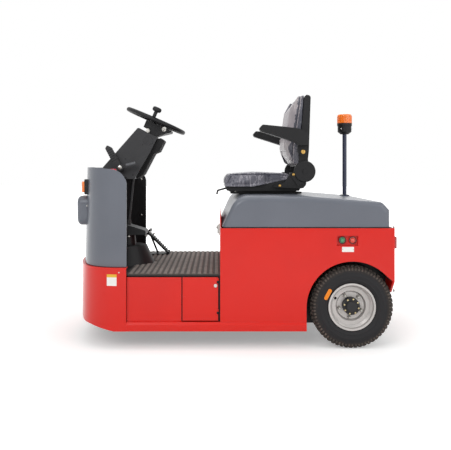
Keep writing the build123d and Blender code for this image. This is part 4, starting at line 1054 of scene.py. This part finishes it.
def dressFloor():
    # moulded ribs across the mat over a ground made darker as painted shade between the ribs, bolts on the
    # well and screws in the cowl's edge
    nodes["floor_mat"].data.materials[0] = paintedShadeGrooveRubber
    bars = []
    for x in range(floorSizes["firstRib"], floorSizes["lastRib"], floorSizes["step"]):
        for span in ribSpans(x):
            bar = slab((x - floorSizes["rib"], x + floorSizes["rib"]), span, floorSizes["heights"])
            pickFaces(bar, isTop)
            bpy.ops.transform.resize(value=(0.72, 0.995, 1))
            objectMode()
            roundEdges(bar, 1.1, 2)
            bars.append(bar)
    settle(joined(*bars), "matRibs", "chassis", matRubber)
    reach = floorSizes["wellBolts"]
    bolts = []
    for angle in range(20, 360, 40):
        turn = math.radians(angle)
        at = (wheelSizes["front"][0] + reach * math.cos(turn), reach * math.sin(turn), floorSizes["wellTop"])
        bolts.append((at, (0, 0, 1), turn))
    settle(stamp(hexBolt(11, 5), bolts), "wellBolts", "chassis", brightSteel)
    screw = [((617, -438.4, 610), (0, 1, 0), 0.3), ((617, -438.4, 840), (0, 1, 0), 0.8)]
    settle(stamp(panScrew(11, 3), screw), "cowlScrews", "chassis", brightSteel)


lineCowl()
dressHeadlamps()
dressTurnLamps()
print("lamps dressed")
dressColumn()
dressLevers()
dressPedals()
dressFloor()
print("column, controls and floor dressed")


# hood, seat, plates, lamps behind and underside

rearSizes = {
    "beacon": (-637.5, -200), "beaconLens": 42.2, "beaconFlutes": 40, "beaconLow": 1177, "footBolts": 23,
    "sealY": 449.4, "sealZ": 610.6, "sealEnds": (-742, 100), "armBolt": (-318.5, 995), "railY": 141,
    "plate": ((-554, -494), (489, 514.5)), "plateFaces": (451.6, 452.9),
    "nosePlate": ((635, 685), (320, 377.5)), "nosePlateFaces": (459.2, 460.4), "noseBand": 15,
    "noseCorner": (629.1, 250), "noseRadius": 210, "halfWidth": 460,
    "chargeLamps": (-548, -496), "tailY": 385, "tailZ": 530, "tailStep": 7, "backX": -758.5,
}


def dressBeacon():
    # flutes and crown of the lens, rubber ring, base screws and bolts through the pole's foot
    x, y = rearSizes["beacon"]
    lensLow = rearSizes["beaconLow"]
    flute = turned([(0, 0), (1.7, 0), (1.7, 41), (0, 41)], 8)
    flute.matrix_world = Matrix.Translation(point(x + rearSizes["beaconLens"], y, lensLow + 5))
    freeze(flute)
    ring = ringOf(flute, rearSizes["beaconFlutes"], (x, y, 0))
    settle(ring, "beaconFlutes", "hood", amberLens)
    cap = turned([(0, 61.5), (12, 61), (22, 59.4), (28, 57.6), (28, 56.4), (0, 56.4)], 40)
    cap.matrix_world = Matrix.Translation(point(x, y, lensLow))
    settle(cap, "beaconCrown", "hood", amberLens)
    band = turned([(40, -1.6), (43.6, -1.6), (44.6, 0.4), (44.6, 2.6), (43.2, 4.2), (40, 4.2)], 64,
                  closed=True)
    band.matrix_world = Matrix.Translation(point(x, y, lensLow))
    settle(band, "beaconRing", "hood", sealRubber)
    screws = [((x + 43.6 * math.cos(a), y + 43.6 * math.sin(a), 1146), (math.cos(a), math.sin(a), 0), 0.4)
              for a in (0.9, 3.0, 5.1)]
    settle(stamp(panScrew(8, 2.6), screws), "beaconScrews", "hood", brightSteel)
    footTop = max(v.co.z for v in nodes["beacon_pole"].data.vertices
                  if math.hypot(v.co.x - x * mm, v.co.y - y * mm) > 0.028) / mm
    reach = rearSizes["footBolts"]
    bolts = [((x + reach * math.cos(a), y + reach * math.sin(a), footTop - 0.4), (0, 0, 1), a)
             for a in (0.8, 2.37, 3.94, 5.5)]
    settle(stamp(hexBolt(8, 3.4), bolts), "poleFootBolts", "hood", brightSteel)


def dressHood():
    # rubber strips the hood closes on, and the slotted lock in its latch
    for side, label in ((1, "Left"), (-1, "Right")):
        ends = [(x, side * rearSizes["sealY"], rearSizes["sealZ"]) for x in rearSizes["sealEnds"]]
        strip = tube(ends, 2.0, "hoodSeal", False)
        settle(strip, "hoodSeal" + label, "chassis", sealRubber)
    latch = turned([(0, 5.4), (6.4, 5.4), (8, 4.2), (8, 0), (0, 0)], 28)
    slot = slab((-1, 1), (-5, 5), (4.4, 6.2))
    lock = stamp(joined(slot, latch), [((130.5, 0, 572), (1, 0, 0), 0.7)])
    settle(lock, "latchLock", "chassis", brightSteel)


def dressSeat():
    # bolts on the recliner covers, armrest pivots and rails, and a seam along each armrest
    bolts = []
    for side in (1, -1):
        bolts.append(((-275, side * 252.6, 876), (0, side, 0), 0.3))
        bolts.append(((-202, side * 253, 816), (0, side, 0), 0.9))
    settle(stamp(hexBolt(9, 4), bolts), "reclinerBolts", "seat", brass)
    x, z = rearSizes["armBolt"]
    pivots = [((x, side * 311.8, z), (0, side, 0), 0.2) for side in (1, -1)]
    settle(stamp(hexBolt(15, 7), pivots), "armBolts", "backrest", brass)
    for side, label in ((1, "Left"), (-1, "Right")):
        seam = [(x + 24, side * 317.2, z + 52), (x + 80, side * 317.2, z + 74),
                (x + 150, side * 317, z + 100), (x + 205, side * 316.4, z + 120)]
        settle(tube(seam, 1.1, "armSeam"), "armSeam" + label, "armrest_" + label.lower(), sealRubber)
    rails = [((at, side * rearSizes["railY"], 781), (0, 0, 1), 0.3) for side in (1, -1) for at in (-300, 30)]
    settle(stamp(hexBolt(9, 3), rails), "railBolts", "hood", brightSteel)


def dressPlates():
    # blank plates: a white data plate under the charge lamps, and one with a yellow band on the nose
    (left, right), (low, high) = rearSizes["plate"]
    plate = slab((left, right), rearSizes["plateFaces"], (low, high))
    roundEdges(plate, 0.4, 1)
    settle(plate, "chargePlate", "chassis", whitePlate)
    rivets = [((at, rearSizes["plateFaces"][1], 502), (0, 1, 0), 0) for at in (left + 4, right - 4)]
    rivet = turned([(0, 1), (1.6, 0.7), (2.2, 0), (0, 0)], 12)
    settle(stamp(rivet, rivets), "plateRivets", "chassis", brightSteel)
    (left, right), (low, high) = rearSizes["nosePlate"]
    split = high - rearSizes["noseBand"]
    cornerX, cornerY = rearSizes["noseCorner"]
    for name, lowZ, highZ, finish in (("nosePlate", low, split, whitePlate),
                                      ("nosePlateBand", split, high, yellowBand)):
        sheet = slab((left, right), rearSizes["nosePlateFaces"], (lowZ, highZ))
        pick(sheet)
        bpy.ops.object.mode_set(mode="EDIT")
        bpy.ops.mesh.select_all(action="SELECT")
        bpy.ops.mesh.subdivide(number_cuts=6)
        objectMode()
        for vertex in sheet.data.vertices:
            at = vertex.co / mm
            if at.x > cornerX:
                rounded = cornerY + math.sqrt(rearSizes["noseRadius"] ** 2 - (at.x - cornerX) ** 2)
                vertex.co.y += (rounded - rearSizes["halfWidth"]) * mm
        settle(sheet, name, "chassis", finish)
    screw = [((623.5, 457.9, 386.5), (0, 1, 0), 0.2)]
    settle(stamp(panScrew(9, 3), screw), "noseScrew", "chassis", brightSteel)


def dressChargeLamps():
    # green in front and red behind, each in a black ring
    places = rearSizes["chargeLamps"]
    lenses = nodes["charge_lamps"].data
    lenses.materials.append(lampPlastic("redPilotLens", "#DC3A22", 0.15, 0.0))
    for face in lenses.polygons:
        face.material_index = 0 if face.center.x > sum(places) / 2 * mm else 1
    rings = [((x, 450.6, 548), (0, 1, 0), 0) for x in places]
    ring = turned([(15.2, 1.4), (18.4, 1.4), (19, 2.4), (18.4, 3.6), (15.8, 4)], 40, closed=True)
    settle(stamp(ring, rings), "chargeLampRings", "chassis", blackPlastic)


def dressBack():
    # ribs and screws of the tail lamps, and the back panel's bolts
    bars = []
    screws = []
    panel = []
    middle = rearSizes["tailZ"]
    for side in (1, -1):
        y = side * rearSizes["tailY"]
        bars += lensRibs((-781.2, -779.4), y, middle, rearSizes["tailStep"], 1.3)
        screws += [((-780.5, y, middle + up), (-1, 0, 0), 0.5) for up in (-25, 25)]
        panel += [((rearSizes["backX"], side * at, z), (-1, 0, 0), 0.4)
                  for at in (150, 430) for z in (292, 610)]
    settle(joined(*bars), "tailLampRibs", "chassis", redLens)
    settle(stamp(panScrew(6, 1.6), screws), "tailLampScrews", "chassis", brightSteel)
    settle(stamp(hexBolt(11, 4.6), panel), "backPanelBolts", "chassis", brightSteel)


def dressDoors():
    # a slotted lock on each service door
    for side, label in ((1, "Left"), (-1, "Right")):
        lock = turned([(0, 1.6), (7.4, 1.6), (8.8, 0.6), (8.8, 0), (0, 0)], 28)
        slot = slab((-1.1, 1.1), (-5.4, 5.4), (0.8, 2.4))
        placed = stamp(joined(slot, lock), [((140, side * 443.6, 318), (0, side, 0), 0)])
        settle(placed, "doorLock" + label, "service_door_" + label.lower(), brightSteel)


batterySizes = {
    "rear": -258, "rows": 4, "rowStep": 102, "right": -330, "columns": 6, "columnStep": 132, "top": 589,
}


def dressUnder():
    # battery caps and the links between its cells, and cooling rings round the motor
    top = batterySizes["top"]
    rows = [batterySizes["rear"] + row * batterySizes["rowStep"] for row in range(batterySizes["rows"])]
    step = batterySizes["columnStep"]
    columns = [batterySizes["right"] + column * step for column in range(batterySizes["columns"])]
    caps = [((x, y, top), (0, 0, 1), 0.3) for x in rows for y in columns]
    cap = turned([(0, 7), (11, 7), (14, 5.4), (15, 0), (0, 0)], 24)
    settle(stamp(cap, caps), "batteryCaps", "chassis", yellowBand)
    links = []
    for x in rows:
        for cell in columns[:-1]:
            y = cell + step / 2
            link = slab((x - 12, x + 12), (y - 34, y + 34), (top, top + 5.5))
            roundEdges(link, 1.6, 2)
            links.append(link)
    settle(joined(*links), "batteryLinks", "chassis", sealRubber)
    fins = []
    for index in range(7):
        fin = turned([(90, 0), (93.2, 0.8), (93.2, 2.4), (90, 3.2)], 48, closed=True)
        along = Matrix.Translation(point(-725 + index * 14, 0, 285))
        fin.matrix_world = along @ Matrix.Rotation(math.pi / 2, 4, "Y")
        freeze(fin)
        fins.append(fin)
    settle(joined(*fins), "motorFins", "chassis", gearIron)


dressBeacon()
dressHood()
dressSeat()
dressPlates()
dressChargeLamps()
dressBack()
dressDoors()
dressUnder()
print("hood, seat and back dressed")


# floor, light and camera

stageSizes = {
    "floorHalf": 30.0, "camera": (0.1325, 3.632, 0.9035), "lens": 50.64, "shiftX": 0.0188, "shiftY": -0.1235,
    "floorFade": {"From Min": 1.1, "From Max": 2.8, "To Min": 0.3, "To Max": 1.0}, "skyStrength": 0.47,
    "aim": (0, 0, 0.5),
    "lamps": (
        {"name": "keyPanel", "at": (2.2, 4.6, 3.6), "size": 3.0, "power": 102},
        {"name": "fillPanel", "at": (-3.4, 3.2, 2.4), "size": 3.0, "power": 49},
        {"name": "backPanel", "at": (-1.0, -4.0, 3.6), "size": 3.0, "power": 42},
        {"name": "topPanel", "at": (0.2, 0.3, 4.6), "size": 3.4, "power": 58},
    ),
}
plainWhite = (1, 1, 1, 1)


def seenDirectly(owner):
    # 1 for what the camera sees, also in mirrors and through glass, and 0 for light on the object
    path = addNode(owner, "ShaderNodeLightPath")
    seen = addNode(owner, "ShaderNodeMath",
                   links={0: path.outputs["Is Camera Ray"], 1: path.outputs["Is Glossy Ray"]},
                   operation="MAXIMUM")
    return addNode(owner, "ShaderNodeMath",
                   links={0: seen.outputs["Value"], 1: path.outputs["Is Transmission Ray"]},
                   operation="MAXIMUM").outputs["Value"]


def layFloor():
    bpy.ops.object.select_all(action="DESELECT")
    bpy.ops.mesh.primitive_plane_add(size=2 * stageSizes["floorHalf"], location=(0, 0, 0))
    floor = bpy.context.object
    floor.name = "floor"
    # pale diffuse floor that fades to plain white away from the tractor, for camera and mirrors only
    mat, shader, place = startMaterial("paleFloor", {"Base Color": srgb("#F4F4F3"), "Roughness": 0.9})
    away = addNode(mat, "ShaderNodeVectorMath", links={0: place}, operation="LENGTH")
    white = addNode(mat, "ShaderNodeMapRange", stageSizes["floorFade"], {"Value": away.outputs["Value"]})
    glow = addNode(mat, "ShaderNodeMath", links={0: white.outputs["Result"], 1: seenDirectly(mat)},
                   operation="MULTIPLY")
    shader.inputs["Emission Color"].default_value = plainWhite
    mat.node_tree.links.new(glow.outputs["Value"], shader.inputs["Emission Strength"])
    floor.data.materials.append(mat)


def fillSky():
    # soft light all round, with a white backdrop behind it
    world = bpy.data.worlds.new("studio")
    bpy.context.scene.world = world
    world.use_nodes = True
    tree = world.node_tree
    back = tree.nodes["Background"]
    back.inputs["Color"].default_value = plainWhite
    back.inputs["Strength"].default_value = stageSizes["skyStrength"]
    white = addNode(world, "ShaderNodeBackground", {"Color": plainWhite, "Strength": 1.0})
    mix = addNode(world, "ShaderNodeMixShader",
                  links={"Fac": seenDirectly(world), 1: back.outputs["Background"],
                         2: white.outputs["Background"]})
    tree.links.new(mix.outputs["Shader"], tree.nodes["World Output"].inputs["Surface"])


def hangLamps():
    for lamp in stageSizes["lamps"]:
        bpy.ops.object.light_add(type="AREA", location=lamp["at"])
        light = bpy.context.object
        light.name = lamp["name"]
        light.data.size = lamp["size"]
        light.data.energy = lamp["power"]
        aim = Vector(stageSizes["aim"]) - Vector(lamp["at"])
        light.rotation_euler = aim.to_track_quat("-Z", "Y").to_euler()


def setCamera():
    level = (math.radians(90), 0, math.radians(180))
    bpy.ops.object.camera_add(location=stageSizes["camera"], rotation=level)
    camera = bpy.context.object
    camera.data.lens = stageSizes["lens"]
    camera.data.sensor_width = 36
    camera.data.shift_x = stageSizes["shiftX"]
    camera.data.shift_y = stageSizes["shiftY"]
    bpy.context.scene.camera = camera
    bpy.context.scene.view_settings.view_transform = "Standard"


layFloor()
fillSky()
hangLamps()
setCamera()
print("stage set")
